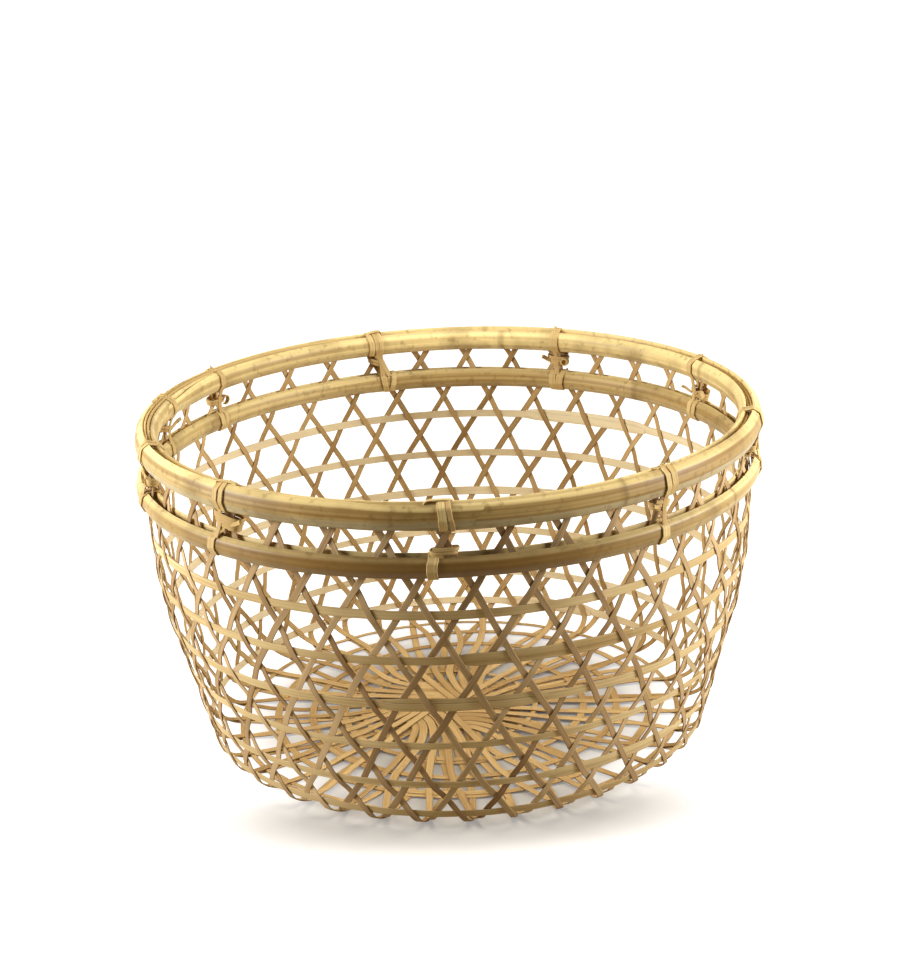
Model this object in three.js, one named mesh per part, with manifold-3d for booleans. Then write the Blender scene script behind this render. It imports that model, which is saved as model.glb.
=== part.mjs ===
// Storage basket in open hexagonal weave: slanting strips in two directions, rings between them,
// and a rim of four half-round hoops bound by lashings. Millimetres, +Z up, front towards -Y.
// The origin is the middle of the base, on the surface that the basket stands on.
import * as THREE from "three";
import Module from "manifold-3d";

// The wall's middle layer bulges as a parabola: widest at the belly, narrowest at the foot.
const BELLY_RADIUS = 154;
const BELLY_HEIGHT = 135;
const FOOT_RADIUS = 128.7;
const CORNER_REACH = 9; // how far the rounded corner reaches in over the base

// Courses of the wall, numbered down from the rim hoops to the ring at the corner.
const CORNER_RING_HEIGHT = 9.4;
const FOOT_PITCH = 17.5; // from the corner ring up to the next course
const COURSE_PITCH = 23.3; // between the other courses
const WALL_RINGS = 6;
const BASE_RING_RADII = [64, 82, 100];

// Splints.
const STRIP_WIDTH = 4;
const STRIP_THICKNESS = 0.8;
const RING_WIDTH = 5.3;
const RING_THICKNESS = 0.8;
const WEAVE_GAP = 0.4; // between a strip and the ring that it crosses

// The star in the middle of the base: six half-bundles of parallel strips round a small eye.
const STRIPS_PER_HALF_BUNDLE = 6;
const EYE_RADIUS = 2.5;
const STAR_GAP = 0.35; // between neighbours in a half-bundle
const STAR_LIFT = 2; // the base rises by this at its middle
const STAR_RADIUS = 42; // within this the strips lie in three layers
const STAR_SETTLE = 10; // distance over which the three layers become two
const STAR_TURN = 357; // direction of the first half-bundle, in degrees
const STAR_LAYERS = 3;
const FAN_START = 24; // distance from the middle at which the strips turn to fan out

// Hoops: half-round, with the flat side on the weave.
const RIM_HOOP_THICKNESS = 4;
const LOWER_HOOP_THICKNESS = 3.4;
const RIM_OUTER_HEIGHT = 13;
const RIM_INNER_HEIGHT = 11.6;
const LOWER_OUTER_HEIGHT = 9.8;
const LOWER_INNER_HEIGHT = 11;
const HOOP_GAP = 0.45; // between a hoop's flat side and the strips
const STRIP_END = 3.2; // how far the strips reach above the middle of the rim hoops
const FILLER_HEIGHT = 2.2;
const FILLER_GAP = 0.35; // between the filler and what is under and beside it

// Lashings, each at a crossing of the strips between the hoops, counted round from the front.
const LASHED_CROSSINGS = [0, 4, 8, 12, 16, 20, 24, 26, 29, 32];
const FRONT_CROSSING = 30; // pitches from the first half-bundle's first crossing to the front one
const LASHING_WIDTH = 3;
const LASHING_THICKNESS = 0.7;
const LASHING_GAP = 0.4;
const KNOT_DEPTH = 3;
const LASHING_LEAN = 0.25; // share of the way beside a crossing that a band has at its far edges

// How finely the round pieces are divided.
const HOOP_SIDES = 72;
const SECTION_STEPS = 5;
const CORNER_SHARES = [1, 0.5, 0];
const BASE_SHARES = [0.75, 0.55, 0.35, 0.2, 0.1, 0.05]; // of a strip's way from the middle to the corner

// Sizes that follow from those above.
const HALF_BUNDLES = 6;
const SECTOR = 360 / HALF_BUNDLES;
const PITCH = SECTOR / STRIPS_PER_HALF_BUNDLE; // degrees between neighbouring strips on the wall
const DRIFT = PITCH / 2; // degrees that a strip drifts from one course to the next
const STRIPS_ROUND = HALF_BUNDLES * STRIPS_PER_HALF_BUNDLE;
const CORNER_COURSE = WALL_RINGS + 1;
const LAYER = (STRIP_THICKNESS + RING_THICKNESS) / 2 + WEAVE_GAP; // from the rings to either layer of strips
const BASE_LEVEL = LAYER + STRIP_THICKNESS / 2;
const CORNER_TOP = CORNER_RING_HEIGHT - RING_WIDTH / 2; // the corner starts under its ring
const HOOP_FACE = LAYER + STRIP_THICKNESS / 2 + HOOP_GAP;

const wasm = await Module();
wasm.setup();

const radians = THREE.MathUtils.degToRad;
const degrees = THREE.MathUtils.radToDeg;
const mix = THREE.MathUtils.lerp;

function polar(radius, angle, height) {
  return new THREE.Vector3(
    radius * Math.cos(radians(angle)),
    radius * Math.sin(radians(angle)),
    height,
  );
}

// The weave's middle layer

function courseHeight(course) {
  const overFoot = Math.min(CORNER_COURSE - course, 1) * FOOT_PITCH;
  const overOthers = Math.max(CORNER_COURSE - 1 - course, 0) * COURSE_PITCH;
  return CORNER_RING_HEIGHT + overFoot + overOthers;
}

// A place on the layer: its radius and height, the direction along the profile away from the
// base's middle, and the distance run along the profile from there.
function wallPlace(course) {
  const height = courseHeight(course);
  const { radius, slope } = wallProfile(height);
  return {
    radius,
    height,
    along: new THREE.Vector2(slope, 1).normalize(),
    run: cornerRun + height - CORNER_TOP,
  };
}

function wallProfile(height) {
  const fall = (BELLY_RADIUS - FOOT_RADIUS) / BELLY_HEIGHT ** 2;
  const below = BELLY_HEIGHT - height;
  return { radius: BELLY_RADIUS - fall * below ** 2, slope: 2 * fall * below };
}

function cornerCurve() {
  const { radius, slope } = wallProfile(CORNER_TOP);
  const toe = radius - slope * (CORNER_TOP - BASE_LEVEL);
  return new THREE.QuadraticBezierCurve(
    new THREE.Vector2(toe - CORNER_REACH, BASE_LEVEL),
    new THREE.Vector2(toe, BASE_LEVEL),
    new THREE.Vector2(radius, CORNER_TOP),
  );
}

const CORNER = cornerCurve();
const BASE_EDGE = CORNER.v0.x;
const cornerRun = BASE_EDGE + CORNER.getLength();

function cornerPlace(share) {
  const at = CORNER.getPoint(share);
  return {
    radius: at.x,
    height: at.y,
    along: CORNER.getTangent(share),
    run: mix(BASE_EDGE, cornerRun, share),
  };
}

function baseHeight(radius) {
  const share = Math.min(radius / BASE_RING_RADII[0], 1);
  return BASE_LEVEL + STAR_LIFT * (1 - share ** 2) ** 2;
}

function basePlace(radius) {
  return {
    radius,
    height: baseHeight(radius),
    along: new THREE.Vector2(1, 0),
    run: radius,
  };
}

// A point at an angle, "out" from the layer on the basket's outer side and "up" along the profile.
function pointAt(place, angle, out, up) {
  return polar(
    place.radius + out * place.along.y + up * place.along.x,
    angle,
    place.height - out * place.along.x + up * place.along.y,
  );
}

// Solids

// A closed body through equal loops of points, either round in a ring or capped at both ends.
function throughLoops(loops, isRing) {
  const count = loops[0].length;
  const points = loops.flat();
  const faces = [];
  const spans = isRing ? loops.length : loops.length - 1;
  for (let i = 0; i < spans; i++) {
    const here = i * count;
    const there = ((i + 1) % loops.length) * count;
    for (let k = 0; k < count; k++) {
      const next = (k + 1) % count;
      faces.push(here + k, here + next, there + next);
      faces.push(here + k, there + next, there + k);
    }
  }
  const last = points.length - count;
  for (let k = 1; k < count - 1 && !isRing; k++) {
    faces.push(0, k + 1, k);
    faces.push(last, last + k, last + k + 1);
  }
  return facingOut(points, faces);
}

function facingOut(points, faces) {
  let volume = 0;
  for (let i = 0; i < faces.length; i += 3) {
    const [a, b, c] = faces.slice(i, i + 3).map((k) => points[k]);
    volume += a.dot(b.clone().cross(c));
  }
  const geometry = new THREE.BufferGeometry().setFromPoints(points);
  geometry.setIndex(volume < 0 ? faces.reverse() : faces);
  return geometry;
}

function joined(geometries) {
  const solids = geometries.map(
    (geometry) =>
      new wasm.Manifold(
        new wasm.Mesh({
          numProp: 3,
          vertProperties: geometry.getAttribute("position").array,
          triVerts: new Uint32Array(geometry.index.array),
        }),
      ),
  );
  const whole = solids.reduce((sum, solid) => sum.add(solid)).getMesh();
  const geometry = new THREE.BufferGeometry();
  geometry.setAttribute("position", new THREE.BufferAttribute(whole.vertProperties, 3));
  geometry.setIndex(new THREE.BufferAttribute(whole.triVerts, 1));
  return geometry;
}

// Weave strips
// A half-bundle points along +X here, and its strips lie to the left of that line. Each strip
// reaches the wall at its head, on the outer side of the rings and drifting clockwise as it
// climbs, and at its tail, on the inner side and drifting anticlockwise.

function stripOffset(number) {
  return EYE_RADIUS + STRIP_WIDTH / 2 + number * (STRIP_WIDTH + STAR_GAP);
}

// Height of a strip over the base's middle layer. In the star it climbs from head to tail as it
// passes round the middle, so that three half-bundles always lie one above the other.
function baseLift(x, y) {
  const turn = degrees(Math.atan2(y, x));
  const star = LAYER * (turn / SECTOR - STAR_LAYERS / 2);
  const side = turn < 90 ? -LAYER : LAYER;
  const settled = (Math.hypot(x, y) - STAR_RADIUS) / STAR_SETTLE;
  return mix(star, side, THREE.MathUtils.clamp(settled, 0, 1));
}

// Stations of a strip's head from its end at the rim down to the edge of the base.
function wallStations(number) {
  const cornerAngle = PITCH / 4 + PITCH * number;
  const angleAt = (course) => cornerAngle - DRIFT * (CORNER_COURSE - course);
  const endCourse = -STRIP_END / COURSE_PITCH;
  const stations = [{ place: wallPlace(endCourse), angle: angleAt(endCourse), isCutLevel: true }];
  for (let course = 0; course < CORNER_COURSE; course++) {
    stations.push({ place: wallPlace(course), angle: angleAt(course) });
  }
  const topCourse = CORNER_COURSE + (CORNER_RING_HEIGHT - CORNER_TOP) / FOOT_PITCH;
  const cornerCourses = (cornerRun - BASE_EDGE) / COURSE_PITCH;
  for (const share of CORNER_SHARES) {
    const angle = angleAt(topCourse + cornerCourses * (1 - share));
    stations.push({ place: cornerPlace(share), angle });
  }
  return stations;
}

// The way of a strip's head over the base, from beside the eye out to the edge of the base.
function fanCurve(number, edgeAngle) {
  const offset = stripOffset(number);
  const edge = polar(BASE_EDGE, edgeAngle, 0);
  return new THREE.QuadraticBezierCurve(
    new THREE.Vector2(0, offset),
    new THREE.Vector2(FAN_START, offset),
    new THREE.Vector2(edge.x, edge.y),
  );
}

// The four corners of a strip's section on the base. The tail mirrors the head.
function baseLoop(curve, share, side) {
  const at = curve.getPoint(share);
  const way = curve.getTangent(share);
  const half = STRIP_THICKNESS / 2;
  const corner = (edge, face) => {
    const x = side * (at.x - edge * way.y);
    const y = at.y + edge * way.x;
    return new THREE.Vector3(x, y, baseHeight(Math.hypot(x, y)) + baseLift(x, y) + face * half);
  };
  const wide = STRIP_WIDTH / 2;
  return [corner(wide, 1), corner(wide, -1), corner(-wide, -1), corner(-wide, 1)];
}

// The four corners of a strip's section at a station: square to the way that the strip runs, or
// level where its end is cut along the rim.
function sectionLoop(station, before, after, side) {
  const { place, angle, isCutLevel } = station;
  const round = place.radius * radians(after.angle - before.angle);
  const along = after.place.run - before.place.run;
  const length = Math.hypot(round, along);
  const half = STRIP_THICKNESS / 2;
  const across = isCutLevel ? -length / along : -along / length;
  const up = isCutLevel ? 0 : round / length;
  const corner = (edge, face) =>
    pointAt(
      place,
      angle + degrees((edge * across) / place.radius),
      side * LAYER + face * half,
      edge * up,
    );
  const wide = STRIP_WIDTH / 2;
  return [corner(wide, -1), corner(wide, 1), corner(-wide, 1), corner(-wide, -1)];
}

function wallLoops(stations, fan, side) {
  const onBase = fan.getPoint(BASE_SHARES[0]);
  const next = {
    place: basePlace(onBase.length()),
    angle: degrees(onBase.angle()),
  };
  const chain = [stations[0], ...stations, next];
  const towards = (station) => ({ ...station, angle: side > 0 ? station.angle : 180 - station.angle });
  return stations.map((station, i) => {
    const [before, at, after] = [chain[i], station, chain[i + 2]].map(towards);
    return side > 0 ? sectionLoop(at, before, after, side) : sectionLoop(at, after, before, side);
  });
}

function stripGeometry(number) {
  const stations = wallStations(number);
  const fan = fanCurve(number, stations.at(-1).angle);
  const head = [
    ...wallLoops(stations, fan, 1),
    ...BASE_SHARES.map((share) => baseLoop(fan, share, 1)),
  ];
  const tail = [
    ...wallLoops(stations, fan, -1),
    ...BASE_SHARES.map((share) => baseLoop(fan, share, -1)),
  ];
  return throughLoops([...head, baseLoop(fan, 0, 1), ...tail.reverse()], false);
}

// Rings and filler

function ringGeometry(place, outs, ups, sides) {
  const loops = [];
  for (let i = 0; i < sides; i++) {
    const angle = (360 * i) / sides;
    loops.push([
      pointAt(place, angle, outs[0], ups[0]),
      pointAt(place, angle, outs[1], ups[0]),
      pointAt(place, angle, outs[1], ups[1]),
      pointAt(place, angle, outs[0], ups[1]),
    ]);
  }
  return throughLoops(loops, true);
}

function splintRing(place) {
  const across = RING_THICKNESS / 2;
  const wide = RING_WIDTH / 2;
  return ringGeometry(place, [-across, across], [-wide, wide], STRIPS_ROUND);
}

function fillerGeometry() {
  const across = HOOP_FACE - FILLER_GAP;
  const foot = STRIP_END + FILLER_GAP;
  return ringGeometry(wallPlace(0), [-across, across], [foot, foot + FILLER_HEIGHT], HOOP_SIDES);
}

// Hoops

// Points of a half-round section from its lower to its upper edge, "grown" beyond the hoop itself.
function halfRound(height, thickness, grown) {
  const points = [];
  for (let i = 0; i <= SECTION_STEPS; i++) {
    const turn = Math.PI * (i / SECTION_STEPS - 0.5);
    points.push({
      out: HOOP_FACE + (thickness + grown) * Math.cos(turn),
      up: (height / 2 + grown) * Math.sin(turn),
    });
  }
  return points;
}

function hoopGeometry(course, height, side) {
  const place = wallPlace(course);
  const section = halfRound(height, hoopThickness(course), 0);
  const loops = [];
  for (let i = 0; i < HOOP_SIDES; i++) {
    const angle = (360 * i) / HOOP_SIDES;
    loops.push(section.map(({ out, up }) => pointAt(place, angle, side * out, up)));
  }
  return throughLoops(loops, true);
}

function hoopThickness(course) {
  return course === 0 ? RIM_HOOP_THICKNESS : LOWER_HOOP_THICKNESS;
}

// Lashings
// Angles are measured from the crossing. The band passes through the weave where it is open:
// beside the crossing between the hoops, and under the crossing below the lower hoops.

function bandGeometry(course, outerHeight, innerHeight, topAngle, bottomAngle) {
  const place = wallPlace(course);
  const thickness = hoopThickness(course);
  const path = (grown) => [
    ...halfRound(outerHeight, thickness, grown),
    ...halfRound(innerHeight, thickness, grown)
      .reverse()
      .map(({ out, up }) => ({ out: -out, up })),
  ];
  const inner = path(LASHING_GAP);
  const outer = path(LASHING_GAP + LASHING_THICKNESS);
  const halfWidth = degrees(LASHING_WIDTH / 2 / place.radius);
  const loops = inner.map((point, i) => {
    const rise = THREE.MathUtils.clamp(point.up / outerHeight + 0.5, 0, 1);
    const angle = mix(bottomAngle, topAngle, rise);
    const corner = (at, side) => pointAt(place, angle + side * halfWidth, at.out, at.up);
    return [corner(point, -1), corner(outer[i], -1), corner(outer[i], 1), corner(point, 1)];
  });
  return throughLoops(loops, true);
}

function knotGeometry(angle) {
  const halfWidth = degrees(LASHING_WIDTH / 2 / BELLY_RADIUS);
  const intoBand = LASHING_GAP + LASHING_THICKNESS / 2;
  const ends = [
    [0, -(RIM_OUTER_HEIGHT + RIM_INNER_HEIGHT) / 4 - intoBand],
    [1, (LOWER_OUTER_HEIGHT + LOWER_INNER_HEIGHT) / 4 + intoBand],
  ];
  const loops = ends.map(([course, up]) => {
    const corner = (side, face) =>
      pointAt(wallPlace(course), angle + side * halfWidth, (face * KNOT_DEPTH) / 2, up);
    return [corner(-1, -1), corner(1, -1), corner(1, 1), corner(-1, 1)];
  });
  return throughLoops(loops, false);
}

// How far beside a crossing between the hoops a lashing clears the strips.
function clearOfCrossing() {
  const nearestRow = 0.5 - (RIM_INNER_HEIGHT / 2 + LASHING_GAP) / COURSE_PITCH;
  const slant = Math.atan2(BELLY_RADIUS * radians(DRIFT), COURSE_PITCH);
  const stripHalf = degrees(STRIP_WIDTH / 2 / Math.cos(slant) / BELLY_RADIUS);
  const lashingHalf = degrees((LASHING_WIDTH / 2 + LASHING_GAP) / BELLY_RADIUS);
  return nearestRow * DRIFT + stripHalf + lashingHalf;
}

function lashingGeometry() {
  const beside = clearOfCrossing();
  const over = LASHING_LEAN * beside;
  return joined([
    bandGeometry(0, RIM_OUTER_HEIGHT, RIM_INNER_HEIGHT, over, beside),
    bandGeometry(1, LOWER_OUTER_HEIGHT, LOWER_INNER_HEIGHT, beside, over),
    knotGeometry(beside),
  ]);
}

// Finishes

function bamboo(colour, roughness) {
  return new THREE.MeshStandardMaterial({ color: colour, roughness, metalness: 0 });
}

const STRIP_FINISH = bamboo(0xb08a55, 0.6);
const RING_FINISH = bamboo(0xcbb078, 0.55);
const HOOP_FINISH = bamboo(0xc19a50, 0.45);
const FILLER_FINISH = bamboo(0xa98d52, 0.6);
const LASHING_FINISH = bamboo(0xd2b778, 0.6);

// Assembly

const basket = new THREE.Group();

function addPiece(name, geometry, finish, turn) {
  const mesh = new THREE.Mesh(geometry, finish);
  mesh.name = name;
  mesh.rotation.z = radians(turn);
  basket.add(mesh);
}

const numbered = (number) => String(number).padStart(2, "0");

for (let number = 0; number < STRIPS_PER_HALF_BUNDLE; number++) {
  const geometry = stripGeometry(number);
  for (let bundle = 0; bundle < HALF_BUNDLES; bundle++) {
    const name = "weave_strip_" + numbered(bundle * STRIPS_PER_HALF_BUNDLE + number + 1);
    addPiece(name, geometry, STRIP_FINISH, STAR_TURN + bundle * SECTOR);
  }
}

// A ring's corners lie where the inner strips cross it.
for (let ring = 1; ring <= WALL_RINGS; ring++) {
  const course = ring + 1;
  const turn = STAR_TURN - PITCH / 4 + DRIFT * (CORNER_COURSE - course);
  addPiece("wall_ring_" + ring, splintRing(wallPlace(course)), RING_FINISH, turn);
}
BASE_RING_RADII.forEach((radius, i) => {
  addPiece("base_ring_" + (i + 1), splintRing(basePlace(radius)), RING_FINISH, STAR_TURN);
});

addPiece("rim_outer_hoop", hoopGeometry(0, RIM_OUTER_HEIGHT, 1), HOOP_FINISH, STAR_TURN);
addPiece("rim_inner_hoop", hoopGeometry(0, RIM_INNER_HEIGHT, -1), HOOP_FINISH, STAR_TURN);
addPiece("lower_outer_hoop", hoopGeometry(1, LOWER_OUTER_HEIGHT, 1), HOOP_FINISH, STAR_TURN);
addPiece("lower_inner_hoop", hoopGeometry(1, LOWER_INNER_HEIGHT, -1), HOOP_FINISH, STAR_TURN);
addPiece("rim_filler", fillerGeometry(), FILLER_FINISH, STAR_TURN);

const firstCrossing = STAR_TURN + PITCH / 4 - DRIFT * (CORNER_COURSE - 0.5);
const lashing = lashingGeometry();
LASHED_CROSSINGS.forEach((crossing, i) => {
  const turn = firstCrossing + PITCH * (FRONT_CROSSING + crossing);
  addPiece("lashing_" + numbered(i + 1), lashing, LASHING_FINISH, turn);
});

export default basket;
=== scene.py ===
"""Storage basket in open hexagonal bamboo weave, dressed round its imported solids.

Metres, +Z up, front towards -Y. Angles are in degrees and run anticlockwise seen from above.
"""

import math
from typing import NamedTuple

import bpy
import numpy as np
from mathutils import Color, Matrix, Vector


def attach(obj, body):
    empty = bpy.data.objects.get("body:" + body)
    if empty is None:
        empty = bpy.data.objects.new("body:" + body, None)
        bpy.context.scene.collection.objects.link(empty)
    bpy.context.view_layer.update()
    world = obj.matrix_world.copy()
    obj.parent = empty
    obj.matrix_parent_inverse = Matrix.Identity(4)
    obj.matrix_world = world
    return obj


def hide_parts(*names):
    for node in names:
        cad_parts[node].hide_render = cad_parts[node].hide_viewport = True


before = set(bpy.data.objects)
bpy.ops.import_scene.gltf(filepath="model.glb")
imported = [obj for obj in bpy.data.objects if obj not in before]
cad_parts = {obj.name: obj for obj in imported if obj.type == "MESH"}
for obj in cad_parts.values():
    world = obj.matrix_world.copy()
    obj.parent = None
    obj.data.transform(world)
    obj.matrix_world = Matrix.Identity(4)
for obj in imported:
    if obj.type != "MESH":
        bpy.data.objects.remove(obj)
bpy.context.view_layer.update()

bl_info = {
    "name": "Woven Storage Basket",
    "version": (1, 0, 0),
    "blender": (4, 5, 0),
    "location": "3D View > Sidebar > Basket",
    "description": "Weaves a round bamboo storage basket and sets it on a plain stage",
    "category": "Add Mesh",
}

BODY = "root"
MM = 0.001
FRONT = 270

# The weave's middle layer: a bulging wall, a rounded corner and a base that rises in the middle.
BELLY_RADIUS = 154 * MM
BELLY_HEIGHT = 135 * MM
FOOT_RADIUS = 128.7 * MM
WAIST = 2.3 * MM
WAIST_HEIGHTS = (-10 * MM, 92 * MM)
CORNER_REACH = 13 * MM
CORNER_EASE = 0.45
BASE_LEVEL = 1.05 * MM
STAR_LIFT = 2 * MM
LIFT_RADIUS = 64 * MM

# Courses, numbered down from the rim hoops to the ring at the corner. The crossings that are lashed
# lie midway between the first two.
CORNER_RING_HEIGHT = 9.4 * MM
FOOT_PITCH = 17.5 * MM
COURSE_PITCH = 23.3 * MM
WALL_RINGS = 6
CORNER_COURSE = WALL_RINGS + 1
CORNER_TOP = 6.6 * MM
MID_COURSE = 0.5

# Strips: six half-bundles round a small eye, each crossing the base and climbing both walls. Round
# the corner a strip is a little longer than the chord and drifts less than on the wall, and between
# two shares of its length it widens towards the star.
HALF_BUNDLES = 6
STRIPS_PER_HALF_BUNDLE = 6
SECTOR = 360 / HALF_BUNDLES
PITCH = SECTOR / STRIPS_PER_HALF_BUNDLE
DRIFT = PITCH / 2
FIRST_ANGLE = PITCH / 4
STAR_TURN = 357
EYE_RADIUS = 2.5 * MM
STAR_STEP = 4.35 * MM
STAR_RADIUS = 42 * MM
STAR_SETTLE = 10 * MM
STAR_LAYERS = 3
FAN_START = 10 * MM
FAN_EASE = 18 * MM
CORNER_ARC = 1.05
CORNER_DRIFT = 0.6
STRIP_END_COURSE = -0.08
STRIP_TAPER = (0.24, 0.44)

# How far the strips stand off the middle layer as they pass over and under.
OVER_RING = 0.66 * MM
UNDER_CROSSING = 0.36 * MM
WAVE_FLATNESS = 1.3
STAR_LAYER = 0.8 * MM
BASE_SQUEEZE = 0.12 * MM

# Rings: the ends of each lap, thinned and narrowed, and it waves between the strips. The laps are in
# degrees, their step and tip are shares of the lap, and thinning and stand-off are shares of the
# thickness.
BASE_RINGS = 3
FIRST_BASE_RING = 64 * MM
BASE_RING_PITCH = 18 * MM
BASE_RING_SHIFT = (3 * MM, 2 * MM)
THIN_RING_RADII = {"star_splint": 46 * MM, "edge_splint": 116.4 * MM}
RING_LAPS = (22, 34)
LAP_STEP = (0.9, 1.1)
LAP_THINNING = 0.45
LAP_STAND_OFF = 0.29
LAP_DRIFT = 1.3 * MM
RING_TIP = (-0.05, 0.12)
RING_TIP_WIDTH = 0.45
RING_WAVE = 0.1 * MM

# How the weave strays: its top leans to one side, the strips bow in the plane of the base, the
# star sits a little to the left and the rim a little to the right.
LEAN = (4.4 * MM, -2.6 * MM)
LEAN_COURSES = (1, 4.5)
BASE_BOW = 1.8
BOW_FULLNESS = 1.2
BOW_ROUNDING = 0.03
BOW_START = 0.25
STAR_SHIFT = -5.5 * MM
STAR_SHIFT_RADII = (40 * MM, 112 * MM)
RIM_SHIFT = 0.9 * MM
RIM_SHIFT_HEIGHTS = (138 * MM, 166 * MM)

# Hoops: levels on the section run from -1 at its lower edge to 1 at its upper edge.
HOOP_FACE = 1.65 * MM
SCARF_SKEW = 0.8
SCARF_SEAT = 0.15
GROWTH_REACH = 1.5 * MM
GROWTH_SWELL = 0.03
# Paler upper bevel: partly a painted highlight from above. Grey lower bevel: partly a painted reflection of
# the floor.
BEVEL_LEVELS = (0.5, 0.68)
GREY_LEVELS = (-0.45, -0.28)
# How fast the painted shade on the front of a hoop falls off round it.
FRONT_SHADE_FALL = 10

# Filler on top of the rim, which stands higher between some angles round from the front.
FILLER_FOOT = 2.1 * MM
FILLER_RISE = 2.7 * MM
FILLER_RISE_ANGLES = (190, 215, 276, 290)
STRAND_SECTION = (0.94, 1.1)

# Lashings. Sizes are in millimetres, like the list of lashings, and a coil's start and overrun are in
# turns. The points of a staple and a tail are (share of its reach along the hoop, out, up), and a curl
# is (turns, share of its radius that is left at the end).
FRONT_CROSSING = 267
BAND_HOLD = 0.4
COIL_START = 0.25
COIL_OVERRUN = 0.35
COIL_WIDTH = 1.7
COIL_DEPTH = 2.5
COIL_GROWTH = 0.02
COIL_SIDE_BEND = 0.6
COIL_DEPTH_BEND = 0.7
LINK_WIDTH = 2.8
LINK_HOLD = 0.8
LINK_DIP = 2.5
LINK_WAYS = (0, 0.35, 0.65, 1)
LINK_OUTS = (4.6, 3.3, 3.3, 4.2)
END_WIDTH = 2.6
STAPLE_LIFT = 0.6
STAPLE_SHADE = 0.9
STAPLE_POINTS = (
    (-0.5, 2.2, -1.5),
    (-0.4, 2.4, -0.2),
    (-0.12, 2.0, 0.1),
    (0.2, 1.4, 0.0),
    (0.42, 1.0, -0.3),
    (0.5, 0.6, -1.6),
)
TAIL_SHADE = 0.35
TAIL_POINTS = ((0, 3.0, 0.2), (0.4, 3.4, 1.0), (0.75, 4.2, 2.2), (1, 5.6, 3.0))
CURL_SHADE = 0.6
CURL_OUT = 2.8
CURLS = {"bow": (0.72, 0.9), "roll": (1.35, 0.62)}

# How work by hand differs. A range is (least, most), and a stray is (reach, waves): how far it goes
# to either side, and its waves over one length or one turn.
WAVE_SHARE_RANGE = (0.4, 1)
STRIP_SWAY_WAVES = (1, 2.3, 4.1)
STRIP_WIDTH_RANGE = (-0.08, 0.05)
STRIP_WIDTH_STRAY = (0.06, (2, 5, 11))
STRIP_SHADE_RANGE = (0.1, 0.9)
STRIP_SHADE_STRAY = (0.25, (1, 3, 7))
RING_SWAY_WAVES = (1, 2, 3, 5)
RING_WIDTH_RANGE = (0.9, 1.06)
RING_WIDTH_STRAY = (0.09, (2, 5, 9))
RING_SHADE_RANGE = (0.25, 0.75)
RING_SHADE_STRAY = (0.35, (1, 3, 8))
HOOP_SWAY_WAVES = (1, 2, 3)
HOOP_WIDTH_STRAY = (0.03, (1, 3, 7))
HOOP_SHADE_STRAY = (0.18, (1, 2, 5))
STRAND_SWAY = (0.3 * MM, (2, 3, 7))
BAND_SWAY = (0.5 * MM, (1, 2, 3))
BAND_SLACK = (0.02, (2, 3))
BAND_SHADE_RANGE = (0.4, 1)
COIL_SHADE_RANGE = (0.1, 0.5)
LINK_SHADE_RANGE = (0.2, 0.7)
TAIL_WIDTH_RANGE = (1.2, 2.2)
TAIL_LIFT_RANGE = (0.6, 1.5)
CURL_START_RANGE = (0, 2)

# Where the random draws of a group start, counted on from its seed.
WALL_RING_DRAWS = 100
BASE_RING_DRAWS = 200
THIN_RING_DRAWS = 210
STRAND_DRAWS = 50
LASHING_DRAWS = 20

# Points along a piece or a stretch of one, round a strand's section and along each turn of a coil, and
# steps from one point of a curve to the next.
WALL_POINTS = 84
CORNER_POINTS = 11
FAN_POINTS = 40
EYE_POINTS = 6
RING_POINTS = 430
HOOP_POINTS = 560
STRAND_POINTS = 360
STRAND_SECTION_POINTS = 9
COIL_POINTS = 24
CURL_POINTS = 36
BAND_STEPS = 3
CURVE_STEPS = 5

# Sections and meshes. A splint's edge is a share of its thickness, its faces of half of it.
SPLINT_EDGE = 0.35
SPLINT_CROWN = 1.12
SPLINT_HOLLOW = 0.9
NEAR_EDGE = 0.99
SHARP_ANGLE = 38
GRAIN_STEP = 7.3

# Sockets of a mix node that mixes colours.
MIX_SHARE = 0
MIX_FIRST = 6
MIX_SECOND = 7
MIX_RESULT = 2

# Finishes and stage.
FIBRE_SHARE = 0.7
DARKEST_SHADE = 0.2
STAIN_SPAN = (0.45, 0.75)
STAIN_SHARE = 0.3
STAIN_DETAIL = 3
RELIEF_STRENGTH = 0.6
ROUGHNESS_SPAN = (-0.1, 0.12)
WHITE = (1, 1, 1, 1)
FLOOR_ROUGHNESS = 0.9
FLOOR_GLOSS = 0.1
SENSOR_WIDTH = 36
LAMP_AIM = (0, 0, 0.08)
SIDE_LAMP_PLACE = (0.8, -0.17, 0.4)
SIDE_LAMP_SIZE = 0.36
TOP_LAMP_PLACE = (0, 0, 1.15)
TOP_LAMP_SIZE = 0.6

# The outline of a split culm from its upper to its lower edge, as shares of half its height and
# of its thickness: an upper bevel, a face and a lower bevel, with eased edges between.
CULM_OUTLINE = (
    (0.86, 0.0),
    (0.95, 0.07),
    (0.98, 0.16),
    (0.93, 0.26),
    (0.71, 0.65),
    (0.63, 0.77),
    (0.52, 0.85),
    (0.40, 0.89),
    (-0.06, 0.98),
    (-0.18, 1.0),
    (-0.30, 0.97),
    (-0.42, 0.90),
    (-0.80, 0.63),
    (-0.90, 0.53),
    (-0.96, 0.38),
    (-0.95, 0.12),
    (-0.86, 0.0),
)


class Layer(NamedTuple):
    """Places on the middle layer: radius, height and the direction along the profile."""

    radius: np.ndarray
    height: np.ndarray
    along_radius: np.ndarray
    along_height: np.ndarray


class Bar(NamedTuple):
    """A swept solid: corners, faces, and for each corner of a face the way along and round it.

    Each corner keeps its skin, which is 1 on a splint's outer face or says how grey a hoop is, partly as
    a painted reflection of the floor, its tint and its mark, which is a split edge, a growth node or
    painted shade on the front of a hoop.
    """

    corners: np.ndarray
    faces: list
    ways: list
    skin: np.ndarray
    tint: np.ndarray
    mark: np.ndarray


# The middle layer


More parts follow.
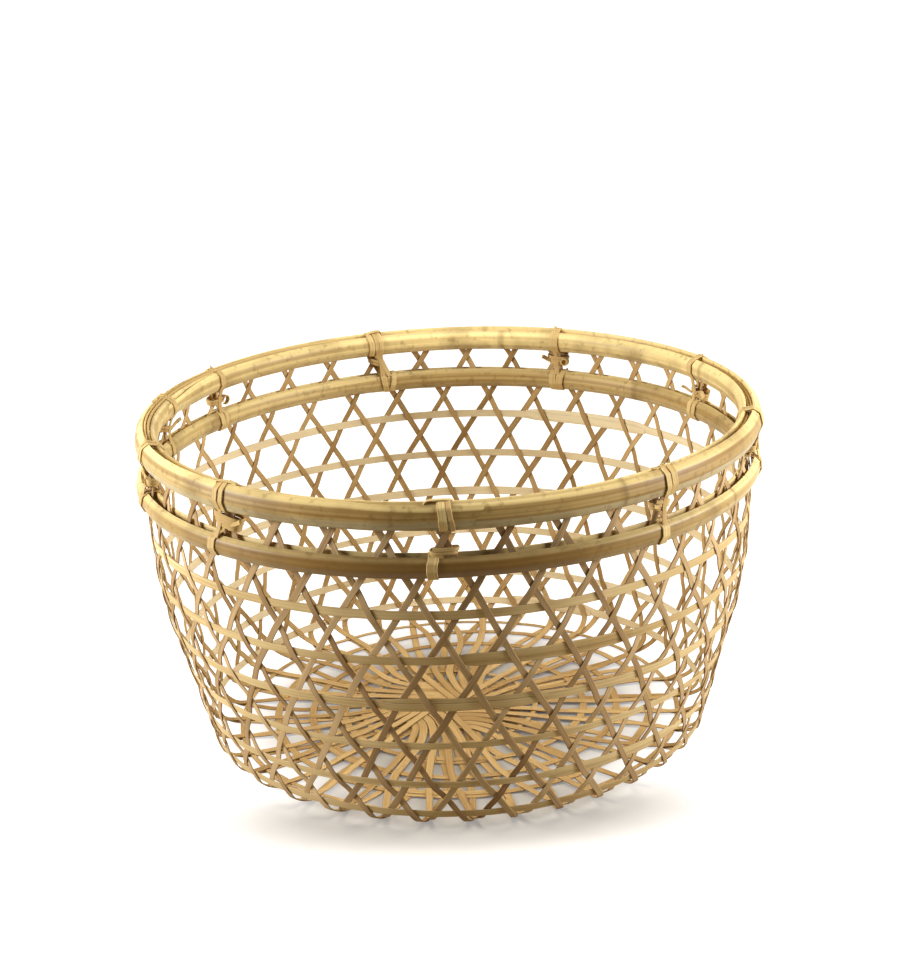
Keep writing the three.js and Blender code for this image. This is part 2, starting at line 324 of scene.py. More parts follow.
def course_height(course):
    """Height of a course, which may lie between two."""
    over_foot = np.minimum(CORNER_COURSE - course, 1) * FOOT_PITCH
    over_others = np.maximum(CORNER_COURSE - 1 - course, 0) * COURSE_PITCH
    return CORNER_RING_HEIGHT + over_foot + over_others


def wall_profile(height):
    """Radius and slope of the wall at a height."""
    fall = (BELLY_RADIUS - FOOT_RADIUS) / BELLY_HEIGHT**2
    below = BELLY_HEIGHT - height
    low, high = WAIST_HEIGHTS
    waist_turn = np.pi * np.clip((height - low) / (high - low), 0, 1)
    radius = BELLY_RADIUS - fall * below**2 - WAIST * np.sin(waist_turn) ** 2
    slope = 2 * fall * below - WAIST * np.pi / (high - low) * np.sin(2 * waist_turn)
    return radius, slope


def wall_layer(course):
    """The layer on the wall at a course."""
    height = course_height(np.asarray(course, float))
    radius, slope = wall_profile(height)
    length = np.hypot(slope, 1)
    return Layer(radius, height, slope / length, 1 / length)


def corner_layer(share):
    """The layer round the corner, from the base's edge at 0 up to the wall at 1."""
    radius, slope = wall_profile(CORNER_TOP)
    edge = radius - CORNER_REACH
    drop = CORNER_EASE * (CORNER_TOP - BASE_LEVEL)
    ends = np.array([
        (edge, BASE_LEVEL),
        (edge + CORNER_EASE * CORNER_REACH, BASE_LEVEL),
        (radius - slope * drop, CORNER_TOP - drop),
        (radius, CORNER_TOP),
    ])
    share = np.asarray(share, float)[:, None]
    rest = 1 - share
    weights = (rest**3, 3 * rest**2 * share, 3 * rest * share**2, share**3)
    at = sum(weight * end for weight, end in zip(weights, ends))
    legs = np.diff(ends, axis=0)
    way = unit(rest**2 * legs[0] + 2 * rest * share * legs[1] + share**2 * legs[2])
    return Layer(at[:, 0], at[:, 1], way[:, 0], way[:, 1])


def base_layer(radius):
    """The layer on the base at a radius."""
    radius = np.asarray(radius, float)
    share = np.minimum(radius / LIFT_RADIUS, 1)
    height = BASE_LEVEL + STAR_LIFT * (1 - share**2) ** 2
    return Layer(radius, height, np.ones_like(radius), np.zeros_like(radius))


def base_edge():
    """Radius where the base ends and the corner starts."""
    return corner_layer([0]).radius[0]


def fan_share(radius):
    """How far out a radius lies on the base, from 0 at the star's edge to 1 at the base's edge."""
    return np.clip((radius - STAR_RADIUS) / (base_edge() - STAR_RADIUS), 0, 1)


def joined_layers(*layers):
    """Layers one after another."""
    return Layer(*[np.concatenate(columns) for columns in zip(*layers)])


def on_layer(layer, angle, out=0.0, up=0.0):
    """Points at angles, out from the layer on the basket's outer side and up along the profile."""
    radius = layer.radius + out * layer.along_height + up * layer.along_radius
    height = layer.height - out * layer.along_radius + up * layer.along_height
    turn = np.radians(angle)
    return np.stack(np.broadcast_arrays(radius * np.cos(turn), radius * np.sin(turn), height), -1)


def outward(layer, angle):
    """Directions square to the layer, towards the basket's outer side."""
    turn = np.radians(angle)
    across = layer.along_height
    parts = (across * np.cos(turn), across * np.sin(turn), -layer.along_radius)
    return np.stack(np.broadcast_arrays(*parts), -1)


# Handwork


def lean_angle(layer, angle):
    """Degrees that the weave strays round the basket where its top leans to one side."""
    high, low = (course_height(course) for course in LEAN_COURSES)
    turn = np.radians(angle)
    strayed = LEAN[1] * np.cos(turn) - LEAN[0] * np.sin(turn)
    return np.degrees(strayed / layer.radius) * smooth_step(low, high, layer.height)


def star_aside(points):
    """How far points on the base lie to the right of where an even weave would have them."""
    radius = np.hypot(points[:, 0], points[:, 1])
    return STAR_SHIFT * (1 - smooth_step(*STAR_SHIFT_RADII, radius))


def unevenness(rng, reach, waves):
    """A smooth random curve over 0 to 1 that stays within the reach."""
    phases = rng.uniform(0, 2 * np.pi, len(waves))
    shares = rng.uniform(*WAVE_SHARE_RANGE, len(waves))
    shares *= reach / shares.sum()

    def curve(share):
        share = np.asarray(share, float)
        turns = 2 * np.pi * np.multiply.outer(share, np.array(waves)) + phases
        return (np.sin(turns) * shares).sum(-1)

    return curve


def smooth_step(low, high, value):
    """0 below low, 1 above high, and an easy climb between."""
    share = np.clip((np.asarray(value, float) - low) / (high - low), 0, 1)
    return share * share * (3 - 2 * share)


# Swept solids


def unit(vectors):
    """Vectors of length one."""
    return vectors / np.linalg.norm(vectors, axis=-1, keepdims=True)


def splint_section(width, thickness):
    """A flat splint with eased edges and a slightly crowned face, as (across, out) points."""
    wide = width / 2
    thick = thickness / 2
    edge = SPLINT_EDGE * thickness
    return np.array([
        (wide, edge - thick),
        (wide, thick - edge),
        (wide - edge, thick),
        (0, SPLINT_CROWN * thick),
        (edge - wide, thick),
        (-wide, thick - edge),
        (-wide, edge - thick),
        (edge - wide, -thick),
        (0, -SPLINT_HOLLOW * thick),
        (wide - edge, -thick),
    ])


def edges_of(section):
    """1 at the edges of a splint's section and 0 on its faces."""
    across = np.abs(section[:, 0])
    return (across > NEAR_EDGE * across.max()).astype(float)


def culm_section(height, thickness, side):
    """A split culm: flat where it lies on the weave on one side or the other, bevelled outside."""
    outline = np.array(CULM_OUTLINE) * (height / 2, thickness)
    return outline if side > 0 else outline[::-1] * (-1, 1)


def round_section(width, height):
    """A thin strand, round on top and flat below."""
    turn = np.linspace(0, np.pi, STRAND_SECTION_POINTS)
    return np.stack([width / 2 * np.cos(turn), height * np.sin(turn)], -1)


def sweep(
    points, facing, section, closed=False, wide=1.0, thick=1.0, tint=0.5, mark=0.0, skin=None, skew=0.0
):
    """A bar of a section along points, with its outer face towards the facing directions."""
    count = len(points)
    sides = len(section)
    if closed:
        way = unit(np.roll(points, -1, 0) - np.roll(points, 1, 0))
    else:
        way = unit(np.gradient(points, axis=0))
    across = unit(np.cross(facing, way))
    out = np.cross(way, across)
    wide, thick, skew = (np.broadcast_to(value, count)[:, None, None] for value in (wide, thick, skew))
    corners = (
        points[:, None]
        + (across[:, None] + way[:, None] * skew) * section[None, :, :1] * wide
        + out[:, None] * section[None, :, 1:] * thick
    )
    spans = count if closed else count - 1
    steps = np.linalg.norm(np.roll(points, -1, 0) - points, axis=1)
    along = np.concatenate([[0], np.cumsum(steps)])
    girth = np.linalg.norm(np.roll(section, -1, 0) - section, axis=1)
    around = np.concatenate([[0], np.cumsum(girth)])
    faces = []
    ways = []
    for i in range(spans):
        here = i * sides
        there = (i + 1) % count * sides
        for k in range(sides):
            after = (k + 1) % sides
            faces.append((here + k, here + after, there + after, there + k))
            low, high = along[i], along[i + 1]
            left, right = around[k], around[k + 1]
            ways.append([(low, left), (low, right), (high, right), (high, left)])
    if not closed:
        last = (count - 1) * sides
        ring = list(range(sides))
        faces.append(tuple(ring[::-1]))
        ways.append([(k * MM, around[k]) for k in ring[::-1]])
        faces.append(tuple(last + k for k in ring))
        ways.append([(along[-2] + k * MM, around[k]) for k in ring])
    if skin is None:
        skin = (section[:, 1] > 0).astype(float)
    tints, marks = (np.broadcast_to(column, (count, sides)).flatten() for column in (tint, mark))
    return Bar(corners.reshape(-1, 3), faces, ways, np.tile(skin, count), tints, marks)


def add_piece(name, bars, finish, slot, *nodes):
    """Makes one object of some bars, riding on the basket in place of CAD nodes if any are named."""
    corners = np.concatenate([bar.corners for bar in bars])
    corners[:, 0] += RIM_SHIFT * smooth_step(*RIM_SHIFT_HEIGHTS, corners[:, 2])
    faces = []
    ways = []
    first = 0
    piece_grain = GRAIN_STEP * len(bpy.data.meshes)
    for number, bar in enumerate(bars):
        faces += [tuple(first + k for k in face) for face in bar.faces]
        grain_start = piece_grain + number
        ways += [(along + grain_start, around) for face in bar.ways for along, around in face]
        first += len(bar.corners)
    mesh = bpy.data.meshes.new(name)
    mesh.from_pydata(corners.tolist(), [], faces)
    grain = mesh.uv_layers.new(name="Grain")
    grain.data.foreach_set("uv", np.array(ways, np.float32).ravel())
    for column in ("skin", "tint", "mark"):
        values = np.concatenate([getattr(bar, column) for bar in bars])
        mesh.attributes.new(column, "FLOAT", "POINT").data.foreach_set("value", values.astype(np.float32))
    mesh.shade_smooth()
    mesh.set_sharp_from_angle(angle=math.radians(SHARP_ANGLE))
    mesh.materials.append(finish)
    mesh.validate()
    piece = bpy.data.objects.new(name, mesh)
    bpy.context.scene.collection.objects.link(piece)
    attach(piece, BODY)
    if nodes:
        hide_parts(*nodes)


# Weave strips


def weave_wave(course):
    """How far a strip's head stands out: over the rings at whole courses, under at the crossings."""
    wave = np.tanh(WAVE_FLATNESS * np.cos(2 * np.pi * course)) / math.tanh(WAVE_FLATNESS)
    middle = (OVER_RING - UNDER_CROSSING) / 2
    return middle + (OVER_RING - middle) * wave


def base_stand_off(radius, turn):
    """How far a strip's head stands below the base's middle layer."""
    phase = 2 * np.pi * (radius - FIRST_BASE_RING) / BASE_RING_PITCH
    fan = OVER_RING - BASE_SQUEEZE + BASE_SQUEEZE * np.cos(phase)
    star = STAR_LAYER * (STAR_LAYERS / 2 - turn / SECTOR)
    settled = smooth_step(STAR_RADIUS, STAR_RADIUS + STAR_SETTLE, radius)
    return star + (fan - star) * settled


def wall_path(number):
    """Layer, angles and stand-off of a strip's head, from its end at the rim to the base's edge."""
    corner_angle = FIRST_ANGLE + PITCH * number
    corner_run = CORNER_ARC * math.hypot(CORNER_REACH, CORNER_TOP - BASE_LEVEL)
    top_course = CORNER_COURSE + (CORNER_RING_HEIGHT - CORNER_TOP) / FOOT_PITCH
    wall_courses = np.linspace(STRIP_END_COURSE, top_course, WALL_POINTS)
    shares = np.linspace(1, 0, CORNER_POINTS)[1:]
    corner_courses = top_course + CORNER_DRIFT * corner_run / COURSE_PITCH * (1 - shares)
    angles = corner_angle - DRIFT * (CORNER_COURSE - np.concatenate([wall_courses, corner_courses]))
    at_top = weave_wave(np.array(top_course))
    corner_out = OVER_RING + (at_top - OVER_RING) * shares
    layer = joined_layers(wall_layer(wall_courses), corner_layer(shares))
    return layer, angles, np.concatenate([weave_wave(wall_courses), corner_out])


def fan_path(number, strip_width, edge_angle):
    """Layer, angles and stand-off of a strip's head, from the base's edge to beside the eye."""
    edge_turn = math.radians(edge_angle)
    edge_radius = base_edge()
    offset = EYE_RADIUS + strip_width / 2 + number * STAR_STEP
    ends = np.array([
        (FAN_START, offset),
        (FAN_START + FAN_EASE, offset),
        (edge_radius * math.cos(edge_turn), edge_radius * math.sin(edge_turn)),
    ])
    share = np.linspace(1, 0, FAN_POINTS)[1:, None]
    fan = (1 - share) ** 2 * ends[0] + 2 * share * (1 - share) * ends[1] + share**2 * ends[2]
    straight = np.linspace(FAN_START, 0, EYE_POINTS)[1:]
    fan = np.concatenate([fan, np.stack([straight, np.full(len(straight), offset)], -1)])
    radius = np.hypot(fan[:, 0], fan[:, 1])
    turn = np.degrees(np.arctan2(fan[:, 1], fan[:, 0]))
    outer = fan_share(radius)
    bow = BOW_FULLNESS * (1 - np.sqrt((2 * outer - 1) ** 2 + BOW_ROUNDING))
    turn = turn + BASE_BOW * bow * smooth_step(0, BOW_START, outer)
    return base_layer(radius), turn, base_stand_off(radius, turn)


def strip_bar(bundle, number, sizes, rng):
    """One strip: its head, the base and its tail, which mirrors the head on the other side."""
    wall, wall_angle, wall_out = wall_path(number)
    base, base_angle, base_out = fan_path(number, sizes.star_width, wall_angle[-1])
    layer = joined_layers(wall, base)
    angle = np.concatenate([wall_angle, base_angle])
    stand_off = np.concatenate([wall_out, base_out])
    share = np.linspace(0, 1, len(angle))
    outer = fan_share(layer.radius)
    on_base = np.where(layer.along_height > 0, 0, 4 * outer * (1 - outer))
    halves = []
    for side in (1, -1):
        sway = unevenness(rng, math.degrees(sizes.strip_sway) * sizes.handwork, STRIP_SWAY_WAVES)
        stray = math.degrees(sizes.base_stray) * sizes.handwork * rng.uniform(-1, 1)
        towards = STAR_TURN + SECTOR * bundle + (angle if side > 0 else 180 - angle)
        towards = towards + sway(share) + stray * on_base
        towards = towards + sizes.handwork * lean_angle(layer, towards)
        halves.append((on_layer(layer, towards, side * stand_off), outward(layer, towards)))
    points, facing = (np.concatenate([head, tail[-2::-1]]) for head, tail in zip(*halves))
    points[:, 0] += sizes.handwork * star_aside(points)
    whole = np.linspace(0, 1, len(points))
    taper = smooth_step(*STRIP_TAPER, np.minimum(whole, 1 - whole))
    width = sizes.strip_width + (sizes.star_width - sizes.strip_width) * taper
    strays = rng.uniform(*STRIP_WIDTH_RANGE) + unevenness(rng, *STRIP_WIDTH_STRAY)(whole)
    shade = rng.uniform(*STRIP_SHADE_RANGE) + unevenness(rng, *STRIP_SHADE_STRAY)(whole)
    section = splint_section(sizes.strip_width, sizes.strip_thickness)
    return sweep(
        points,
        facing,
        section,
        wide=(1 + sizes.handwork * strays) * width / sizes.strip_width,
        tint=np.clip(shade, 0, 1)[:, None],
        mark=edges_of(section),
    )


class BASKET_OT_weave_strips(bpy.types.Operator):
    """Weave the strips that cross the base and climb the wall"""

    bl_idname = "basket.weave_strips"
    bl_label = "Weave Strips"

    def execute(self, context):
        sizes = context.scene.basket_weave
        finish = strip_finish(context.scene.basket_finish)
        for bundle in range(HALF_BUNDLES):
            for number in range(STRIPS_PER_HALF_BUNDLE):
                index = bundle * STRIPS_PER_HALF_BUNDLE + number + 1
                rng = np.random.default_rng(sizes.seed + index)
                bar = strip_bar(bundle, number, sizes, rng)
                add_piece(f"strip_{index:02d}", [bar], finish, "weave_strip", f"weave_strip_{index:02d}")
        return {"FINISHED"}


# Splint rings


def ring_bar(layer, phase, width, sizes, rng):
    """A ring of splint whose thinned ends lap, waving a little between the strips."""
    lap = rng.uniform(*RING_LAPS)
    start = rng.uniform(0, 360)
    angle = start + np.linspace(0, 360 + lap, RING_POINTS)
    into = (angle - start) / lap
    left = (start + 360 + lap - angle) / lap
    lapped = (1 - smooth_step(*LAP_STEP, into)) - (1 - smooth_step(*LAP_STEP, left))
    wave = -RING_WAVE * np.cos(np.radians(angle - phase) * 360 / PITCH)
    out = wave - LAP_STAND_OFF * sizes.ring_thickness * lapped
    share = (angle - start) / 360
    sway = unevenness(rng, sizes.ring_sway * sizes.handwork, RING_SWAY_WAVES)
    end_drift = LAP_DRIFT * sizes.handwork * rng.choice([-1, 1])
    up = sway(share) + end_drift * lapped * np.abs(lapped)
    strays = unevenness(rng, *RING_WIDTH_STRAY)(share)
    tips = np.minimum(smooth_step(*RING_TIP, into), smooth_step(*RING_TIP, left))
    shade = rng.uniform(*RING_SHADE_RANGE) + unevenness(rng, *RING_SHADE_STRAY)(share)
    section = splint_section(width, sizes.ring_thickness)
    return sweep(
        on_layer(layer, angle, out, up),
        outward(layer, angle),
        section,
        wide=(1 + sizes.handwork * strays) * (RING_TIP_WIDTH + (1 - RING_TIP_WIDTH) * tips),
        thick=1 - LAP_THINNING * np.abs(lapped),
        tint=np.clip(shade, 0, 1)[:, None],
        mark=edges_of(section),
    )


class BASKET_OT_splint_rings(bpy.types.Operator):
    """Lay the rings between the strips, on the wall and on the base"""

    bl_idname = "basket.splint_rings"
    bl_label = "Splint Rings"

    def execute(self, context):
        sizes = context.scene.basket_weave
        wall_finish = ring_finish(context.scene.basket_finish)
        base_finish = strip_finish(context.scene.basket_finish)
        for ring in range(1, WALL_RINGS + 1):
            course = ring + 1
            phase = STAR_TURN + FIRST_ANGLE - DRIFT * (CORNER_COURSE - course)
            rng = np.random.default_rng(sizes.seed + WALL_RING_DRAWS + ring)
            width = sizes.ring_width * rng.uniform(*RING_WIDTH_RANGE)
            bar = ring_bar(wall_layer(course), phase, width, sizes, rng)
            add_piece(f"wall_splint_{ring}", [bar], wall_finish, "splint_ring", f"wall_ring_{ring}")
        for ring in range(1, BASE_RINGS + 1):
            radius = FIRST_BASE_RING + BASE_RING_PITCH * (ring - 1)
            rng = np.random.default_rng(sizes.seed + BASE_RING_DRAWS + ring)
            bar = ring_bar(base_layer(radius), STAR_TURN, sizes.base_ring_width, sizes, rng)
            bar.corners[:, :2] += BASE_RING_SHIFT
            add_piece(f"base_splint_{ring}", [bar], base_finish, "splint_ring", f"base_ring_{ring}")
        for ring, (name, radius) in enumerate(THIN_RING_RADII.items()):
            rng = np.random.default_rng(sizes.seed + THIN_RING_DRAWS + ring)
            bar = ring_bar(base_layer(radius), STAR_TURN, sizes.thin_ring_width, sizes, rng)
            bar.corners[:, 0] += sizes.handwork * star_aside(bar.corners)
            add_piece(name, [bar], base_finish, "splint_ring")
        return {"FINISHED"}


# Hoops and filler


class Hoop(NamedTuple):
    """A hoop of split culm: where it lies, its section, its shades, its scarf and its growth nodes.

    The shade is at the front and goes up by the fade towards the back, which paints the front darker as
    shade and the back paler as light. A further painted shade darkens the front, bevel makes the upper
    bevel paler, partly as a painted highlight from above, and grey greys the lower one, partly as a
    painted reflection of the floor.
    """

    name: str
    node: str
    course: int
    side: int
    height: float
    thickness: float
    shade: float
    # Painted light: the hoop is paler towards the back and darker at the front, where shade falls.
    fade: float
    # Painted shade on the front of the hoop.
    front_shade: float
    bevel: float
    grey: float
    scarf: float
    growths: tuple


def rim_hoops(sizes):
    """The four hoops. Scarf and growth nodes are given as angles round from the front."""
    rim = sizes.rim_hoop_thickness
    low = sizes.lower_hoop_thickness
    # Fade paints each hoop paler towards the back, and the lower outer hoop gets painted shade on its front.
    return (
        Hoop(
            "hoop_rim_outer", "rim_outer_hoop",
            course=0, side=1, height=sizes.rim_outer_height, thickness=rim,
            shade=0.16, fade=0.36, front_shade=0, bevel=0.5, grey=1, scarf=338, growths=(29, 96, 171, 262),
        ),
        Hoop(
            "hoop_rim_inner", "rim_inner_hoop",
            course=0, side=-1, height=sizes.rim_inner_height, thickness=rim,
            shade=0.68, fade=0, front_shade=0, bevel=0.2, grey=0.5, scarf=236, growths=(30, 112, 167, 291),
        ),
        Hoop(
            "hoop_lower_outer", "lower_outer_hoop",
            course=1, side=1, height=sizes.lower_outer_height, thickness=low,
            shade=-0.06, fade=1.9, front_shade=1, bevel=0.4, grey=0.3, scarf=150, growths=(58, 261, 318),
        ),
        Hoop(
            "hoop_lower_inner", "lower_inner_hoop",
            course=1, side=-1, height=sizes.lower_inner_height, thickness=low,
            shade=0.36, fade=0, front_shade=0, bevel=0.25, grey=0.4, scarf=183, growths=(60, 134, 283),
        ),
    )


def growth_marks(from_front, growths):
    """1 at a hoop's growth nodes, and 0 away from them."""
    mark = np.zeros_like(from_front)
    for growth in growths:
        arc = np.radians((from_front - growth + 180) % 360 - 180) * BELLY_RADIUS
        mark = np.maximum(mark, np.exp(-((arc / GROWTH_REACH) ** 2)))
    return mark


def hoop_bar(hoop, sizes, rng):
    """A hoop bent round once, with long tapered ends that lap in a scarf."""
    lap = math.degrees(sizes.scarf_lap)
    away = np.linspace(0, 360 + lap, HOOP_POINTS)
    share = away / 360
    from_front = hoop.scarf + away
    angle = FRONT + from_front
    under = np.clip(away / lap, sizes.scarf_tip, 1)
    over = np.clip((away - 360) / lap, 0, 1 - sizes.scarf_tip)
    outline = np.array(CULM_OUTLINE)
    crest = np.argmax(outline[:, 1])
    upper = np.interp(over, outline[:crest, 1], outline[:crest, 0])
    lower = np.interp(over, outline[:crest:-1, 1], outline[:crest:-1, 0])
    lapping = smooth_step(0, SCARF_SEAT, over)
    wide = 1 + lapping * ((upper - lower) / 2 - 1)
    swell = unevenness(rng, *HOOP_WIDTH_STRAY)(share)
    up = unevenness(rng, sizes.hoop_sway * sizes.handwork, HOOP_SWAY_WAVES)(share)
    up = up + lapping * (upper + lower) / 2 * hoop.height / 2
    mark = growth_marks(from_front, hoop.growths)
    layer = wall_layer(hoop.course)
    section = culm_section(hoop.height, hoop.thickness, hoop.side)
    level = 2 * hoop.side * section[:, 0] / hoop.height
    # 0 at the front, where shade falls, to 1 at the back: it places the painted light and shade round a hoop.
    backness = (1 - np.cos(np.radians(from_front))) / 2
    shade = hoop.shade + unevenness(rng, *HOOP_SHADE_STRAY)(share) + hoop.fade * backness
    # The paler upper bevel is partly a painted highlight from the lamp above.
    paler_bevel = hoop.bevel * smooth_step(*BEVEL_LEVELS, level)
    return sweep(
        on_layer(layer, angle, hoop.side * (HOOP_FACE + hoop.thickness * over), up),
        hoop.side * outward(layer, angle),
        section,
        wide=(1 + sizes.handwork * swell) * wide,
        thick=under * (1 - over) * (1 + GROWTH_SWELL * mark),
        tint=np.clip(np.add.outer(shade, paler_bevel), 0, 1),
        # Growth nodes, and painted shade on the front of the hoop.
        mark=np.maximum(mark, hoop.front_shade * (1 - backness) ** FRONT_SHADE_FALL)[:, None],
        # The grey lower bevel is partly a painted reflection of the floor.
        skin=hoop.grey * (1 - smooth_step(*GREY_LEVELS, level)),
        skew=SCARF_SKEW * smooth_step(lap / 2, lap, away - 360),
    )


class BASKET_OT_hoops(bpy.types.Operator):
    """Bend the hoops on both sides of the weave, at the rim and below it"""

    bl_idname = "basket.hoops"
    bl_label = "Hoops"

    def execute(self, context):
        sizes = context.scene.basket_rim
        finish = hoop_finish(context.scene.basket_finish)
        for index, hoop in enumerate(rim_hoops(sizes)):
            rng = np.random.default_rng(sizes.seed + index)
            add_piece(hoop.name, [hoop_bar(hoop, sizes, rng)], finish, "hoop_bamboo", hoop.node)
        return {"FINISHED"}


def strand_bar(strand, sizes, rng):
    """One strand of the filler, lying along the rim beside the others."""
    angle = np.linspace(0, 360, STRAND_POINTS, endpoint=False)
    middle = (sizes.filler_strands - 1) / 2
    out = (strand - middle) * sizes.filler_strand
    from_front = (angle - FRONT) % 360
    rise_from, risen, still_risen, rise_to = FILLER_RISE_ANGLES
    rise = smooth_step(rise_from, risen, from_front) - smooth_step(still_risen, rise_to, from_front)
    up = FILLER_FOOT + FILLER_RISE * rise + unevenness(rng, *STRAND_SWAY)(angle / 360)
    layer = wall_layer(0)
    points = on_layer(layer, angle, out, up)
    facing = on_layer(layer, angle, out, up + MM) - points
    wide, high = (part * sizes.filler_strand for part in STRAND_SECTION)
    return sweep(points, facing, round_section(wide, high), closed=True)


class BASKET_OT_rim_filler(bpy.types.Operator):
    """Lay the thin strands that close the gap on top of the rim"""

    bl_idname = "basket.rim_filler"
    bl_label = "Rim Filler"

    def execute(self, context):
        sizes = context.scene.basket_rim
        finish = filler_finish(context.scene.basket_finish)
        bars = []
        for strand in range(sizes.filler_strands):
            rng = np.random.default_rng(sizes.seed + STRAND_DRAWS + strand)
            bars.append(strand_bar(strand, sizes, rng))
        add_piece("rim_strands", bars, finish, "rim_filler", "rim_filler")
        return {"FINISHED"}


# Lashings


class Coil(NamedTuple):
    """The turns that a lashing makes round its crossing: sizes in millimetres, a slope and a number."""

    reach: float
    shift: float
    lean: float
    level: float
    turns: int


class Lashing(NamedTuple):
    """A binding at one crossing, in millimetres along the hoops from the crossing.

    Crossings are counted round from the front, and face is the side that loose ends lie on: 1 outside
    the basket and -1 inside. Bands are (top, bottom, width), links are (side, top, bottom) and ends are
    (kind, place, reach).
    """

    crossing: int
    face: int
    rim: tuple
    lower: tuple
    coil: Coil
    links: tuple
    ends: tuple


LASHINGS = (
    Lashing(
        crossing=0,
        face=1,
        rim=((-1.2, -0.2, 3.8), (2.0, 3.4, 2.2)),
        lower=((-5.2, -4.8, 4.8),),
        coil=Coil(5.2, -0.3, 0.05, -5.4, 2),
        links=((-1, 1, -3),),
        ends=(("staple", -2.2, 13),),
    ),
    Lashing(
        crossing=4,
        face=1,
        rim=((0.4, 0.2, 3.2), (4.2, 3.8, 3.8)),
        lower=((-0.8, -1.2, 4.6),),
        coil=Coil(4.2, -0.6, -0.12, 0.6, 2),
        links=((1, 0.6, -0.8), (-1, 2, 0)),
        ends=(("tail", -3.4, -5),),
    ),
    Lashing(
        crossing=8,
        face=1,
        rim=((0.6, 1.6, 3.8), (4.0, 4.4, 2.4)),
        lower=((1.8, 0.8, 3.6),),
        coil=Coil(4.4, 0.4, 0.12, -1, 2),
        links=((1, 1.4, 1.6), (-1, 2, 2)),
        ends=(("bow", 3.4, 3),),
    ),
    Lashing(
        crossing=12,
        face=-1,
        rim=((0.6, 0.4, 4.0),),
        lower=((2.4, 1.8, 3.6), (-1.6, -2.0, 3.4)),
        coil=Coil(5.0, -1, 0.14, -2.6, 2),
        links=((-1, 0.4, 1.6), (1, 0, -1)),
        ends=(("bow", -5, 2.6), ("tail", 3.4, 6)),
    ),
    Lashing(
        crossing=16,
        face=-1,
        rim=((-1.4, -1.6, 4.8),),
        lower=((-0.4, -0.6, 4.0), (-5.0, -4.8, 4.4)),
        coil=Coil(4.6, -2.2, 0, 0, 3),
        links=((-1, -1.6, -2.6), (1, -1, -2)),
        ends=(("roll", -7.2, 2.3), ("tail", 2.2, 4)),
    ),
    Lashing(
        crossing=20,
        face=-1,
        rim=((3.4, 2.2, 3.0), (-0.2, -1.2, 2.4), (-2.8, -3.6, 2.4)),
        lower=((-3.8, -7.0, 3.0), (-11.4, -10.0, 3.0)),
        coil=Coil(4.0, -1.4, 0.3, 0.8, 2),
        links=((-1, -2.6, -4.6), (-1, 0, -8.6)),
        ends=(("staple", -0.5, 9),),
    ),
    Lashing(
        crossing=24,
        face=-1,
        rim=((0.8, -0.4, 4.0),),
        lower=((-0.4, -1.0, 3.6), (-4.2, -3.8, 3.0)),
        coil=Coil(4.8, -0.6, -0.1, -0.6, 2),
        links=((-1, 0, -1), (1, 0, -2)),
        ends=(("bow", -5.4, 2.6),),
    ),
    Lashing(
        crossing=26,
        face=-1,
        rim=((-1.6, 2.6, 2.6), (3.0, -1.6, 2.4)),
        lower=((1.0, 0.2, 3.4),),
        coil=Coil(4.2, 0.4, 0.22, -0.4, 2),
        links=((-1, 1.6, 0.6), (1, 0, 0)),
        ends=(("tail", -2.6, -7), ("tail", -1.8, -5)),
    ),
    Lashing(
        crossing=29,
        face=1,
        rim=((-1.0, 0.8, 3.4), (3.0, 3.6, 2.6)),
        lower=((1.4, 0.4, 3.4), (-2.2, -1.4, 2.6)),
        coil=Coil(4.8, 0, -0.2, -0.6, 3),
        links=((1, 0.8, 1), (-1, 1, 0)),
        ends=(("bow", -4.4, 3), ("bow", 4.6, 2.4)),
    ),
    Lashing(
        crossing=32,
        face=1,
        rim=((-3.0, -2.8, 3.2), (0.4, 0.6, 3.0)),
        lower=((-6.6, -6.2, 4.6),),
        coil=Coil(5.6, 0, -0.14, -0.8, 4),
        links=((1, -1.6, -4.4), (-1, -1, -3)),
        ends=(("staple", -0.6, 9), ("tail", 4, 8)),
    ),
)


def band_outline(course, sizes):
    """The closed way of a band round a pair of hoops, as (out, up) points."""
    if course == 0:
        heights = (sizes.rim_outer_height, sizes.rim_inner_height)
        thickness = sizes.rim_hoop_thickness
    else:
        heights = (sizes.lower_outer_height, sizes.lower_inner_height)
        thickness = sizes.lower_hoop_thickness
    gap = sizes.lashing_gap
    sides = []
    for side, height in zip((1, -1), heights):
        outline = np.array(CULM_OUTLINE[1:-1]) * (height / 2 + BAND_HOLD * gap, thickness + gap)
        sides.append([(side * (HOOP_FACE + out), up) for up, out in outline])
    return np.array(sides[0][::-1] + sides[1])


def smoothed(points, closed, steps):
    """Points along a smooth curve through the given ones."""
    count = len(points)
    spans = count if closed else count - 1
    found = []
    for i in range(spans):
        if closed:
            near = [points[(i + k) % count] for k in (-1, 0, 1, 2)]
        else:
            near = [points[min(max(i + k, 0), count - 1)] for k in (-1, 0, 1, 2)]
        bend = 2 * near[0] - 5 * near[1] + 4 * near[2] - near[3]
        twist = 3 * near[1] - near[0] - 3 * near[2] + near[3]
        for t in np.arange(steps) / steps:
            found.append(near[1] + 0.5 * ((near[2] - near[0]) * t + bend * t**2 + twist * t**3))
    if not closed:
        found.append(points[-1])
    return np.array(found)


def at_crossing(course, turn, side_way, out, up):
    """Points beside a crossing: along the hoop, out from the weave and up from a course."""
    layer = wall_layer(course)
    return on_layer(layer, turn + np.degrees(side_way / layer.radius), out, up)


def crossing_curve(course, turn, ways, outs, ups):
    """A smooth curve beside a crossing, through points that are given in millimetres."""
    return smoothed(at_crossing(course, turn, ways * MM, outs * MM, ups * MM), False, CURVE_STEPS)


